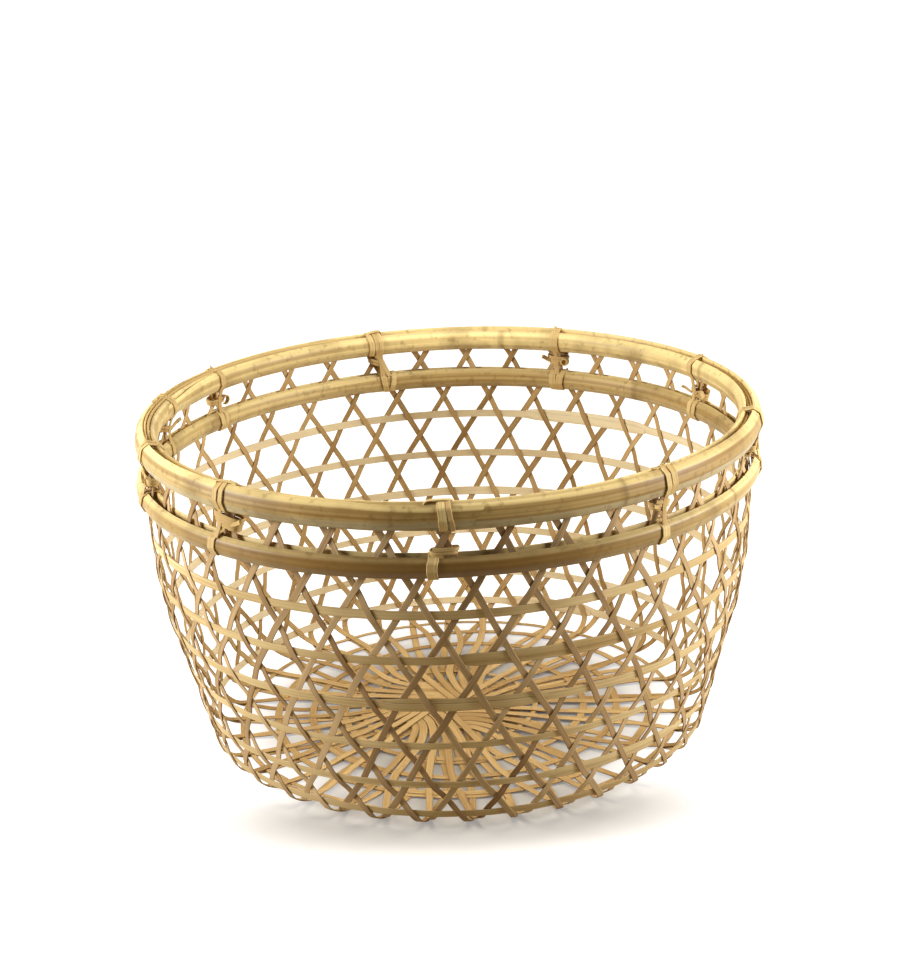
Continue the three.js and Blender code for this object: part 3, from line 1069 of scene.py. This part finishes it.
def ribbon(points, across, width, sizes, tint, closed=False):
    """A thin strip along points, with its width along the across directions."""
    way = np.roll(points, -1, 0) - np.roll(points, 1, 0) if closed else np.gradient(points, axis=0)
    across = np.broadcast_to(across, points.shape)
    section = splint_section(width, sizes.lashing_thickness)
    return sweep(points, np.cross(way, across), section, closed=closed, tint=tint)


def along_hoop(turn):
    """The direction along the hoop at an angle."""
    turn = math.radians(turn)
    return np.array([-math.sin(turn), math.cos(turn), 0.0])


def band_bar(course, turn, band, sizes, rng):
    """A band wound once round a pair of hoops, leaning from its bottom to its top."""
    top, bottom, width = (value * MM for value in band)
    outline = smoothed(band_outline(course, sizes), True, BAND_STEPS)
    rise = outline[:, 1] / np.abs(outline[:, 1]).max() / 2 + 0.5
    share = np.linspace(0, 1, len(outline), endpoint=False)
    side_way = bottom + (top - bottom) * rise + unevenness(rng, *BAND_SWAY)(share)
    slack = 1 + unevenness(rng, *BAND_SLACK)(share)
    points = at_crossing(course, turn, side_way, outline[:, 0] * slack, outline[:, 1])
    return ribbon(points, along_hoop(turn), width, sizes, rng.uniform(*BAND_SHADE_RANGE), closed=True)


def bent(wave, bend):
    """A wave made squarer by a power under one."""
    return np.sign(wave) * np.abs(wave) ** bend


def coil_bar(turn, coil, sizes, rng):
    """The turns that draw the crossing together between the hoops, side by side and growing."""
    turns = np.linspace(COIL_START, coil.turns + COIL_OVERRUN, COIL_POINTS * coil.turns)
    around = 2 * np.pi * turns
    fullness = 1 + COIL_GROWTH * around
    side_way = coil.shift + coil.reach * fullness * bent(np.cos(around), COIL_SIDE_BEND)
    out = COIL_DEPTH * fullness * bent(np.sin(around), COIL_DEPTH_BEND)
    up = coil.level + coil.lean * side_way + COIL_WIDTH * (turns - coil.turns / 2)
    points = at_crossing(MID_COURSE, turn, side_way * MM, out * MM, up * MM)
    return ribbon(points, (0.0, 0.0, -1.0), COIL_WIDTH * MM, sizes, rng.uniform(*COIL_SHADE_RANGE))


def link_bar(turn, link, coil, sizes, rng):
    """A stretch between the bands, past the coil, on one side of the weave."""
    side, top, bottom = link
    on_rim = (COURSE_PITCH - LINK_HOLD * sizes.rim_outer_height) / 2 / MM
    on_lower = (LINK_HOLD * sizes.lower_outer_height - COURSE_PITCH) / 2 / MM
    ups = np.array([on_rim, coil.level + LINK_DIP, coil.level - LINK_DIP, on_lower])
    ways = top + (bottom - top) * np.array(LINK_WAYS)
    points = crossing_curve(MID_COURSE, turn, ways, side * np.array(LINK_OUTS), ups)
    return ribbon(points, side * along_hoop(turn), LINK_WIDTH * MM, sizes, rng.uniform(*LINK_SHADE_RANGE))


def staple_bar(turn, place, reach, sizes):
    """An end laid over the top of the rim and tucked in."""
    shares, outs, ups = np.array(STAPLE_POINTS).T
    top = sizes.rim_outer_height / 2 / MM + STAPLE_LIFT
    points = crossing_curve(0, turn, place + reach * shares, outs, top + ups)
    return ribbon(points, outward(wall_layer(0), turn), END_WIDTH * MM, sizes, STAPLE_SHADE)


def tail_bar(turn, place, reach, lashing, sizes, rng):
    """A loose end that stands off the crossing."""
    shares, outs, ups = np.array(TAIL_POINTS).T
    ups = lashing.coil.level + ups * rng.uniform(*TAIL_LIFT_RANGE)
    points = crossing_curve(MID_COURSE, turn, place + reach * shares, lashing.face * outs, ups)
    return ribbon(points, (0.0, 0.0, 1.0), rng.uniform(*TAIL_WIDTH_RANGE) * MM, sizes, TAIL_SHADE)


def curl_bar(turn, place, reach, curl, lashing, sizes, rng):
    """An end curled in a ring, which closes in as it turns."""
    turns, left = curl
    around = np.linspace(0, 2 * np.pi * turns, CURL_POINTS) + rng.uniform(*CURL_START_RANGE)
    radius = reach * np.linspace(1, left, CURL_POINTS)
    ways = place + radius * np.cos(around)
    ups = lashing.coil.level + radius * np.sin(around)
    points = at_crossing(MID_COURSE, turn, ways * MM, lashing.face * CURL_OUT * MM, ups * MM)
    return ribbon(points, outward(wall_layer(MID_COURSE), turn), END_WIDTH * MM, sizes, CURL_SHADE)


def end_bar(turn, end, lashing, sizes, rng):
    """A tucked or loose end: a staple over the rim, a tail, an open bow or a closed roll."""
    kind, place, reach = end
    if kind == "staple":
        return staple_bar(turn, place, reach, sizes)
    if kind == "tail":
        return tail_bar(turn, place, reach, lashing, sizes, rng)
    return curl_bar(turn, place, reach, CURLS[kind], lashing, sizes, rng)


class BASKET_OT_lashings(bpy.types.Operator):
    """Bind the hoops to each other at some of the crossings"""

    bl_idname = "basket.lashings"
    bl_label = "Lashings"

    def execute(self, context):
        sizes = context.scene.basket_rim
        finish = lashing_finish(context.scene.basket_finish)
        for index, lashing in enumerate(LASHINGS, 1):
            rng = np.random.default_rng(sizes.seed + LASHING_DRAWS + index)
            turn = FRONT_CROSSING + PITCH * lashing.crossing
            turn += lean_angle(wall_layer(MID_COURSE), turn)
            bars = [band_bar(0, turn, band, sizes, rng) for band in lashing.rim]
            bars += [band_bar(1, turn, band, sizes, rng) for band in lashing.lower]
            bars.append(coil_bar(turn, lashing.coil, sizes, rng))
            bars += [link_bar(turn, link, lashing.coil, sizes, rng) for link in lashing.links]
            bars += [end_bar(turn, end, lashing, sizes, rng) for end in lashing.ends]
            add_piece(f"binding_{index:02d}", bars, finish, "lashing_strip", f"lashing_{index:02d}")
        return {"FINISHED"}


# Finishes


class Nodes:
    """The nodes of a material or a world."""

    def __init__(self, tree):
        self.tree = tree

    def node(self, kind, inputs, **settings):
        """Adds a node, with some of its inputs set to values or joined to other nodes."""
        made = self.tree.nodes.new(kind)
        for name, value in settings.items():
            setattr(made, name, value)
        for name, value in inputs.items():
            if isinstance(value, bpy.types.NodeSocket):
                self.join(value, made.inputs[name])
            else:
                made.inputs[name].default_value = value
        return made

    def join(self, output, socket):
        """Joins an output to the input of another node."""
        self.tree.links.new(output, socket)

    def seen_ray(self):
        """1 for rays that show the background: straight, in a gloss or through glass."""
        path = self.node("ShaderNodeLightPath", {})
        seen = path.outputs["Is Camera Ray"]
        for name in ("Is Glossy Ray", "Is Transmission Ray"):
            inputs = {0: seen, 1: path.outputs[name]}
            seen = self.node("ShaderNodeMath", inputs, operation="MAXIMUM").outputs[0]
        return seen


class Finish(Nodes):
    """A node material, made up step by step."""

    def __init__(self, name):
        self.material = bpy.data.materials.new(name)
        self.material.use_nodes = True
        super().__init__(self.material.node_tree)
        self.shader = self.tree.nodes["Principled BSDF"]

    def place(self):
        """Where a point lies on the basket or the floor."""
        return self.node("ShaderNodeTexCoord", {}).outputs["Object"]

    def column(self, name):
        """A value that the mesh keeps for each corner."""
        return self.node("ShaderNodeAttribute", {}, attribute_name=name).outputs["Fac"]

    def fibres(self, along, across, detail=2):
        """Streaks that run along the splint: noise drawn out along the grain."""
        way = self.node("ShaderNodeUVMap", {}, uv_map="Grain").outputs["UV"]
        drawn = self.vectors("MULTIPLY", way, (along, across, 0)).outputs[0]
        return self.node("ShaderNodeTexNoise", {"Vector": drawn, "Scale": 1, "Detail": detail}).outputs["Fac"]

    def stains(self, scale):
        """Soft patches that do not follow the grain."""
        inputs = {"Vector": self.place(), "Scale": scale, "Detail": STAIN_DETAIL}
        return self.node("ShaderNodeTexNoise", inputs).outputs["Fac"]

    def vectors(self, operation, *values):
        """A node that works on vectors."""
        return self.node("ShaderNodeVectorMath", dict(enumerate(values)), operation=operation)

    def scaled(self, value, factor):
        """A value times a factor."""
        return self.node("ShaderNodeMath", {0: value, 1: factor}, operation="MULTIPLY").outputs[0]

    def summed(self, first, second):
        """Two values together."""
        return self.node("ShaderNodeMath", {0: first, 1: second}, operation="ADD").outputs[0]

    def spread(self, value, low, high):
        """A value stretched from low and high to 0 and 1."""
        inputs = {"Value": value, "From Min": low, "From Max": high}
        return self.node("ShaderNodeMapRange", inputs).outputs["Result"]

    def mixed(self, share, first, second):
        """A colour between two others, which are colours or nodes."""
        inputs = {MIX_SHARE: share}
        for socket, value in ((MIX_FIRST, first), (MIX_SECOND, second)):
            inputs[socket] = value if isinstance(value, bpy.types.NodeSocket) else linear(value)
        return self.node("ShaderNodeMix", inputs, data_type="RGBA").outputs[MIX_RESULT]

    def washed(self, under, mask, factor, colour):
        """A colour laid over another one, where and as far as a mask times a factor says."""
        return self.mixed(self.scaled(mask, factor), under, colour)

    def done(self, colour, relief, roughness, depth, gloss=0.12):
        """Joins the colour and the relief to the shader."""
        self.join(colour, self.shader.inputs["Base Color"])
        bump = self.node("ShaderNodeBump", {"Height": relief, "Strength": RELIEF_STRENGTH, "Distance": depth})
        self.join(bump.outputs["Normal"], self.shader.inputs["Normal"])
        smooth, coarse = (roughness + change for change in ROUGHNESS_SPAN)
        rough = self.node("ShaderNodeMapRange", {"Value": relief, "To Min": smooth, "To Max": coarse})
        self.join(rough.outputs["Result"], self.shader.inputs["Roughness"])
        self.shader.inputs["Specular IOR Level"].default_value = gloss
        return self.material


def linear(colour):
    """A display colour as a shader colour."""
    return (*Color(colour).from_srgb_to_scene_linear(), 1.0)


class SplintLook(NamedTuple):
    """How a flat splint looks, apart from its colours: fibres, shade, stains, edges and gloss."""

    name: str
    along: float
    across: float
    tint_share: float
    full_light: float
    stain_scale: float
    edge_share: float
    roughness: float
    gloss: float


STRIP_LOOK = SplintLook(
    "split strip", along=12, across=1300, tint_share=0.6, full_light=0.95,
    stain_scale=28, edge_share=0.6, roughness=0.6, gloss=0.04,
)
RING_LOOK = SplintLook(
    "ring splint", along=8, across=1100, tint_share=0.5, full_light=0.9,
    stain_scale=22, edge_share=0.5, roughness=0.5, gloss=0.06,
)


def splint_finish(look, outside, inside, edge):
    """A flat splint with (dark, light) shades outside and inside, stained, and darker at its edges."""
    finish = Finish(look.name)
    fibres = finish.fibres(look.along, look.across)
    tint = finish.scaled(finish.column("tint"), look.tint_share)
    shade = finish.summed(finish.scaled(fibres, FIBRE_SHARE), tint)
    light = finish.spread(shade, DARKEST_SHADE, look.full_light)
    faces = (finish.mixed(light, *shades) for shades in (inside, outside))
    sided = finish.mixed(finish.column("skin"), *faces)
    stains = finish.spread(finish.stains(look.stain_scale), *STAIN_SPAN)
    stained = finish.washed(sided, stains, STAIN_SHARE, outside[0])
    edged = finish.washed(stained, finish.column("mark"), look.edge_share, edge)
    return finish.done(edged, fibres, look.roughness, depth=0.12 * MM, gloss=look.gloss)


def strip_finish(colours):
    """Split strips: greyed on the outside, warm and woody on the inside, dark along the edges."""
    outside = (colours.strip_outside_dark, colours.strip_outside)
    inside = (colours.strip_inside_dark, colours.strip_inside)
    return splint_finish(STRIP_LOOK, outside, inside, colours.splint_edge)


def ring_finish(colours):
    """Ring splints: pale straw inside, olive straw on the skin outside."""
    outside = (colours.ring_skin_dark, colours.ring_skin)
    inside = (colours.ring_dark, colours.ring_light)
    return splint_finish(RING_LOOK, outside, inside, colours.splint_edge)


def hoop_finish(colours):
    """Split culm with its skin: golden on the upper bevel, partly a painted highlight, brown on the face,
    grey below, partly a painted reflection of the floor, and aged, with painted shade on a hoop's front.
    """
    finish = Finish("hoop culm")
    fibres = finish.fibres(along=4, across=700)
    grain = finish.scaled(finish.spread(fibres, low=0.3, high=0.7), factor=0.3)
    # The tint holds painted light and shade: darker at a hoop's front, paler towards its back, and paler on
    # the upper bevel, partly as a painted highlight.
    light = finish.spread(finish.summed(finish.column("tint"), grain), low=0.1, high=1.1)
    golden = finish.mixed(light, colours.hoop_dark, colours.hoop_light)
    # Grey on the lower bevel: partly a painted reflection of the floor.
    greyed = finish.washed(golden, finish.column("skin"), factor=0.62, colour=colours.hoop_grey)
    streaks = finish.spread(finish.fibres(along=3, across=260, detail=1), low=0.5, high=0.68)
    streaked = finish.washed(greyed, streaks, factor=0.5, colour=colours.hoop_dark)
    patches = finish.spread(finish.stains(scale=42), low=0.5, high=0.72)
    patched = finish.washed(streaked, patches, factor=0.5, colour=colours.hoop_stain_and_shade)
    specks = finish.spread(finish.stains(scale=260), low=0.56, high=0.7)
    specked = finish.washed(patched, specks, factor=0.4, colour=colours.hoop_stain_and_shade)
    # Growth nodes, and painted shade on the front of a hoop.
    marked = finish.washed(specked, finish.column("mark"), factor=0.55, colour=colours.hoop_stain_and_shade)
    return finish.done(marked, fibres, roughness=0.4, depth=0.08 * MM, gloss=0.16)


def filler_finish(colours):
    """Thin strands on the rim: olive straw."""
    finish = Finish("rim strand")
    fibres = finish.fibres(along=8, across=1500)
    light = finish.spread(fibres, low=0.3, high=0.7)
    strand = finish.mixed(light, colours.filler_dark, colours.filler_light)
    return finish.done(strand, fibres, roughness=0.55, depth=0.2 * MM)


def lashing_finish(colours):
    """Lashing strips: light straw, darker where the tint is low."""
    finish = Finish("lashing strip")
    fibres = finish.fibres(along=30, across=1800)
    light = finish.spread(fibres, low=0.28, high=0.7)
    straw = finish.mixed(light, colours.lashing_dark, colours.lashing_light)
    age = finish.spread(finish.column("tint"), low=0.9, high=0.0)
    aged = finish.mixed(age, straw, colours.lashing_dark)
    return finish.done(aged, fibres, roughness=0.55, depth=0.2 * MM)


# Stage


class FloorShade(NamedTuple):
    """A soft shade on the floor: its middle, its squeeze, where it fades, and the light left in it."""

    centre: tuple
    squeeze: tuple
    near: float
    far: float
    light: float


FLOOR_SHADES = (
    FloorShade(centre=(0, 0, 0), squeeze=(1, 1, 1), near=0.064, far=0.138, light=0.1),
    FloorShade(centre=(0, -0.115, 0), squeeze=(0.36, 1, 1), near=0.02, far=0.056, light=0.24),
)


def floor_finish(colours):
    """A white floor that keeps a soft shade and meets the background without an edge."""
    finish = Finish("studio floor")
    sockets = finish.shader.inputs
    sockets["Base Color"].default_value = linear(colours.floor)
    sockets["Roughness"].default_value = FLOOR_ROUGHNESS
    sockets["Specular IOR Level"].default_value = FLOOR_GLOSS
    sockets["Emission Color"].default_value = WHITE
    place = finish.place()
    strength = finish.seen_ray()
    for shade in FLOOR_SHADES:
        moved = finish.vectors("SUBTRACT", place, shade.centre).outputs[0]
        squeezed = finish.vectors("MULTIPLY", moved, shade.squeeze).outputs[0]
        away = finish.vectors("LENGTH", squeezed).outputs["Value"]
        inputs = {"Value": away, "From Min": shade.near, "From Max": shade.far, "To Min": shade.light}
        rise = finish.node("ShaderNodeMapRange", inputs, interpolation_type="SMOOTHSTEP")
        strength = finish.scaled(strength, rise.outputs["Result"])
    finish.join(strength, sockets["Emission Strength"])
    return finish.material


def add_floor(scene, reach):
    """A plain square floor under the basket."""
    mesh = bpy.data.meshes.new("floor")
    corners = [(-reach, -reach, 0), (reach, -reach, 0), (reach, reach, 0), (-reach, reach, 0)]
    mesh.from_pydata(corners, [], [(0, 1, 2, 3)])
    mesh.materials.append(floor_finish(scene.basket_finish))
    floor = bpy.data.objects.new("floor", mesh)
    scene.collection.objects.link(floor)


def light_world(scene, ambient):
    """White where the camera sees it, and a plain soft light on the basket."""
    world = bpy.data.worlds.new("studio")
    scene.world = world
    world.use_nodes = True
    nodes = Nodes(world.node_tree)
    background = nodes.tree.nodes["Background"]
    background.inputs["Color"].default_value = WHITE
    inputs = {"Value": nodes.seen_ray(), "To Min": ambient, "To Max": 1.0}
    strength = nodes.node("ShaderNodeMapRange", inputs)
    nodes.join(strength.outputs["Result"], background.inputs["Strength"])


def add_lamp(name, place, size, power, tone):
    """A square soft lamp that looks at the basket."""
    lamp = bpy.data.lights.new(name, "AREA")
    lamp.shape = "SQUARE"
    lamp.size = size
    lamp.energy = power
    lamp.color = linear(tone)[:3]
    made = bpy.data.objects.new(name, lamp)
    made.location = place
    made.rotation_euler = (Vector(LAMP_AIM) - Vector(place)).to_track_quat("-Z", "Y").to_euler()
    bpy.context.scene.collection.objects.link(made)


def add_camera(stage):
    """The camera, turned as the photograph was taken: a little down, and tilted to one side."""
    data = bpy.data.cameras.new("camera")
    data.lens = stage.lens
    data.sensor_width = SENSOR_WIDTH
    pitch, pan, roll = stage.camera_pitch, stage.camera_pan, stage.camera_roll
    ahead = Vector((math.sin(pan) * math.cos(pitch), math.cos(pan) * math.cos(pitch), -math.sin(pitch)))
    level = ahead.cross(Vector((0, 0, 1))).normalized()
    upright = level.cross(ahead)
    right = math.cos(roll) * level - math.sin(roll) * upright
    up = math.sin(roll) * level + math.cos(roll) * upright
    made = bpy.data.objects.new("camera", data)
    turn = Matrix((right, up, -ahead)).transposed().to_4x4()
    made.matrix_world = Matrix.Translation(Vector(stage.camera_place)) @ turn
    bpy.context.scene.collection.objects.link(made)
    bpy.context.scene.camera = made


class BASKET_OT_stage(bpy.types.Operator):
    """Set the camera, the floor and plain soft studio light"""

    bl_idname = "basket.stage"
    bl_label = "Stage"

    def execute(self, context):
        scene = context.scene
        stage = scene.basket_stage
        scene.view_settings.view_transform = "Standard"
        add_camera(stage)
        add_floor(scene, stage.floor_reach)
        light_world(scene, stage.ambient)
        aside, ahead, high = SIDE_LAMP_PLACE
        for name, side in (("lamp_left", -1), ("lamp_right", 1)):
            add_lamp(name, (side * aside, ahead, high), SIDE_LAMP_SIZE, stage.side_power, stage.side_tone)
        add_lamp("lamp_top", TOP_LAMP_PLACE, TOP_LAMP_SIZE, stage.top_power, stage.top_tone)
        return {"FINISHED"}


# Settings


def number_prop(name, description, default, **kind):
    """A number that a user may change."""
    return bpy.props.FloatProperty(name=name, description=description, default=default, **kind)


def share_prop(name, description, default):
    """A plain number that is not below 0."""
    return number_prop(name, description, default, min=0)


def length_prop(name, description, default):
    """A size in metres."""
    return number_prop(name, description, default, min=0, precision=5, subtype="DISTANCE", unit="LENGTH")


def angle_prop(name, description, default):
    """An angle, given in degrees and kept in radians."""
    return number_prop(name, description, math.radians(default), subtype="ANGLE", unit="ROTATION")


def power_prop(name, description, default):
    """The power of a lamp in watts."""
    return number_prop(name, description, default, min=0, unit="POWER")


def count_prop(name, description, default, least):
    """A whole number that a user may change."""
    return bpy.props.IntProperty(name=name, description=description, default=default, min=least)


def colour_prop(name, description, default):
    """A display colour that a user may change, given from 0 to 255."""
    return bpy.props.FloatVectorProperty(
        name=name,
        description=description,
        default=[channel / 255 for channel in default],
        min=0,
        max=1,
        subtype="COLOR_GAMMA",
    )


class WeaveSizes(bpy.types.PropertyGroup):
    """Sizes of the strips and rings."""

    strip_width: length_prop("Strip width", "Width of a weave strip on the wall", 3.2 * MM)
    star_width: length_prop("Star width", "Width of a weave strip where it crosses the base", 4.3 * MM)
    strip_thickness: length_prop("Strip thickness", "Thickness of a weave strip", 0.6 * MM)
    ring_width: length_prop("Ring width", "Width of a splint ring on the wall", 4.3 * MM)
    base_ring_width: length_prop("Base ring width", "Width of a splint ring on the base", 3.8 * MM)
    thin_ring_width: length_prop("Thin ring width", "Width of the rings at the star and the edge", 2.6 * MM)
    ring_thickness: length_prop("Ring thickness", "Thickness of a splint ring", 0.6 * MM)
    strip_sway: angle_prop("Strip sway", "How far round a strip strays to either side", 0.45)
    base_stray: angle_prop("Base stray", "How far round a strip bows to either side on the base", 3.2)
    ring_sway: length_prop("Ring sway", "How far a ring strays up and down", 0.9 * MM)
    handwork: share_prop("Handwork", "Share of the unevenness of work by hand", 1.0)
    seed: count_prop("Seed", "Start of the random draws", 7, least=0)


class RimSizes(bpy.types.PropertyGroup):
    """Sizes of the hoops, the filler and the lashings."""

    rim_hoop_thickness: length_prop("Rim hoop thickness", "Thickness of hoops at the rim", 4.2 * MM)
    lower_hoop_thickness: length_prop("Lower hoop thickness", "Thickness of hoops below the rim", 3.5 * MM)
    rim_outer_height: length_prop("Rim outer height", "Height of the outer hoop at the rim", 13 * MM)
    rim_inner_height: length_prop("Rim inner height", "Height of the inner hoop at the rim", 11.6 * MM)
    lower_outer_height: length_prop("Lower outer height", "Height of the outer hoop below the rim", 9.8 * MM)
    lower_inner_height: length_prop("Lower inner height", "Height of the inner hoop below the rim", 11 * MM)
    scarf_lap: angle_prop("Scarf lap", "How far round the ends of a hoop lap", 26)
    scarf_tip: share_prop("Scarf tip", "Share of its thickness that a hoop's end keeps", 0.3)
    hoop_sway: length_prop("Hoop sway", "How far a hoop strays up and down", 0.4 * MM)
    filler_strand: length_prop("Filler strand", "Width of a strand of the filler", 1.55 * MM)
    filler_strands: count_prop("Filler strands", "Strands side by side", 2, least=1)
    lashing_thickness: length_prop("Lashing thickness", "Thickness of a lashing strip", 0.6 * MM)
    lashing_gap: length_prop("Lashing gap", "From a hoop's face to the middle of a lashing strip", 0.6 * MM)
    handwork: share_prop("Handwork", "Share of the unevenness of work by hand", 1.0)
    seed: count_prop("Seed", "Start of the random draws", 3, least=0)


class FinishColours(bpy.types.PropertyGroup):
    """Colours of the bamboo and the floor."""

    strip_outside: colour_prop("Strip outside", "Outer face of a strip", (210, 174, 120))
    strip_outside_dark: colour_prop("Strip outside dark", "Streaks on the outer face", (130, 93, 52))
    strip_inside: colour_prop("Strip inside", "Inner face of a strip", (210, 171, 108))
    strip_inside_dark: colour_prop("Strip inside dark", "Streaks on the inner face", (149, 110, 58))
    ring_light: colour_prop("Ring light", "Inner face of a ring", (248, 225, 172))
    ring_dark: colour_prop("Ring dark", "Streaks on the inner face of a ring", (228, 196, 138))
    ring_skin: colour_prop("Ring skin", "Outer face of a ring", (226, 194, 132))
    ring_skin_dark: colour_prop("Ring skin dark", "Streaks on the outer face of a ring", (162, 125, 68))
    splint_edge: colour_prop("Splint edge", "Edges of strips and rings", (112, 80, 46))
    # Partly a painted highlight from above.
    hoop_light: colour_prop("Hoop light", "Upper bevels of the hoops", (241, 209, 134))
    hoop_dark: colour_prop("Hoop dark", "Faces of the hoops and streaks on them", (137, 97, 36))
    # Partly a painted reflection of the floor.
    hoop_grey: colour_prop("Hoop grey", "Lower bevels of the hoops", (190, 172, 126))
    # Growth nodes and stains, and the painted shade on the front of a hoop.
    hoop_stain_and_shade: colour_prop("Hoop stain", "Growth nodes and stains", (108, 77, 32))
    filler_light: colour_prop("Filler light", "Strands on the rim", (220, 186, 116))
    filler_dark: colour_prop("Filler dark", "Streaks on the strands", (168, 130, 70))
    lashing_light: colour_prop("Lashing light", "Lashing strips", (230, 199, 130))
    lashing_dark: colour_prop("Lashing dark", "Shaded and aged lashing", (180, 141, 80))
    floor: colour_prop("Floor", "Studio floor", (160, 148, 127))


class StageSettings(bpy.types.PropertyGroup):
    """Camera and light."""

    lens: number_prop("Lens", "Focal length", 69.376, unit="CAMERA")
    camera_place: bpy.props.FloatVectorProperty(
        name="Camera place",
        description="Where the camera stands",
        default=(0, -0.9081, 0.4385),
        subtype="XYZ",
        unit="LENGTH",
    )
    camera_pitch: angle_prop("Camera pitch", "How far the camera looks down", 18.7565)
    camera_pan: angle_prop("Camera pan", "How far the camera looks to the right", 0.0367)
    camera_roll: angle_prop("Camera roll", "How far the camera leans to the right", 2.4808)
    floor_reach: length_prop("Floor reach", "Half the side of the floor", 30)
    ambient: share_prop("Ambient", "Strength of the light from all round", 0.035)
    side_power: power_prop("Side power", "Power of each lamp at the sides", 12.8)
    side_tone: colour_prop("Side tone", "Colour of the lamps at the sides", (226, 235, 255))
    top_power: power_prop("Top power", "Power of the lamp above", 6.2)
    top_tone: colour_prop("Top tone", "Colour of the lamp above", (255, 255, 255))


class BASKET_PT_panel(bpy.types.Panel):
    """The basket's sizes, colours and steps."""

    bl_idname = "BASKET_PT_panel"
    bl_label = "Woven Basket"
    bl_space_type = "VIEW_3D"
    bl_region_type = "UI"
    bl_category = "Basket"

    def draw(self, context):
        for operator in OPERATORS:
            self.layout.operator(operator.bl_idname)
        for name in SETTINGS:
            group = getattr(context.scene, name)
            box = self.layout.box()
            for field in group.bl_rna.properties:
                if field.identifier not in ("name", "rna_type"):
                    box.prop(group, field.identifier)


SETTINGS = {
    "basket_weave": WeaveSizes,
    "basket_rim": RimSizes,
    "basket_finish": FinishColours,
    "basket_stage": StageSettings,
}
OPERATORS = (
    BASKET_OT_stage,
    BASKET_OT_weave_strips,
    BASKET_OT_splint_rings,
    BASKET_OT_hoops,
    BASKET_OT_rim_filler,
    BASKET_OT_lashings,
)
CLASSES = (*SETTINGS.values(), *OPERATORS, BASKET_PT_panel)


def register():
    """Adds the classes and the scene's settings."""
    for item in CLASSES:
        bpy.utils.register_class(item)
    for name, group in SETTINGS.items():
        setattr(bpy.types.Scene, name, bpy.props.PointerProperty(type=group))


def unregister():
    """Takes the settings and classes away again."""
    for name in SETTINGS:
        delattr(bpy.types.Scene, name)
    for item in reversed(CLASSES):
        bpy.utils.unregister_class(item)


def main():
    """Builds the basket and its stage."""
    register()
    bpy.ops.basket.stage()
    bpy.ops.basket.weave_strips()
    bpy.ops.basket.splint_rings()
    bpy.ops.basket.hoops()
    bpy.ops.basket.rim_filler()
    bpy.ops.basket.lashings()


if __name__ == "__main__":
    main()
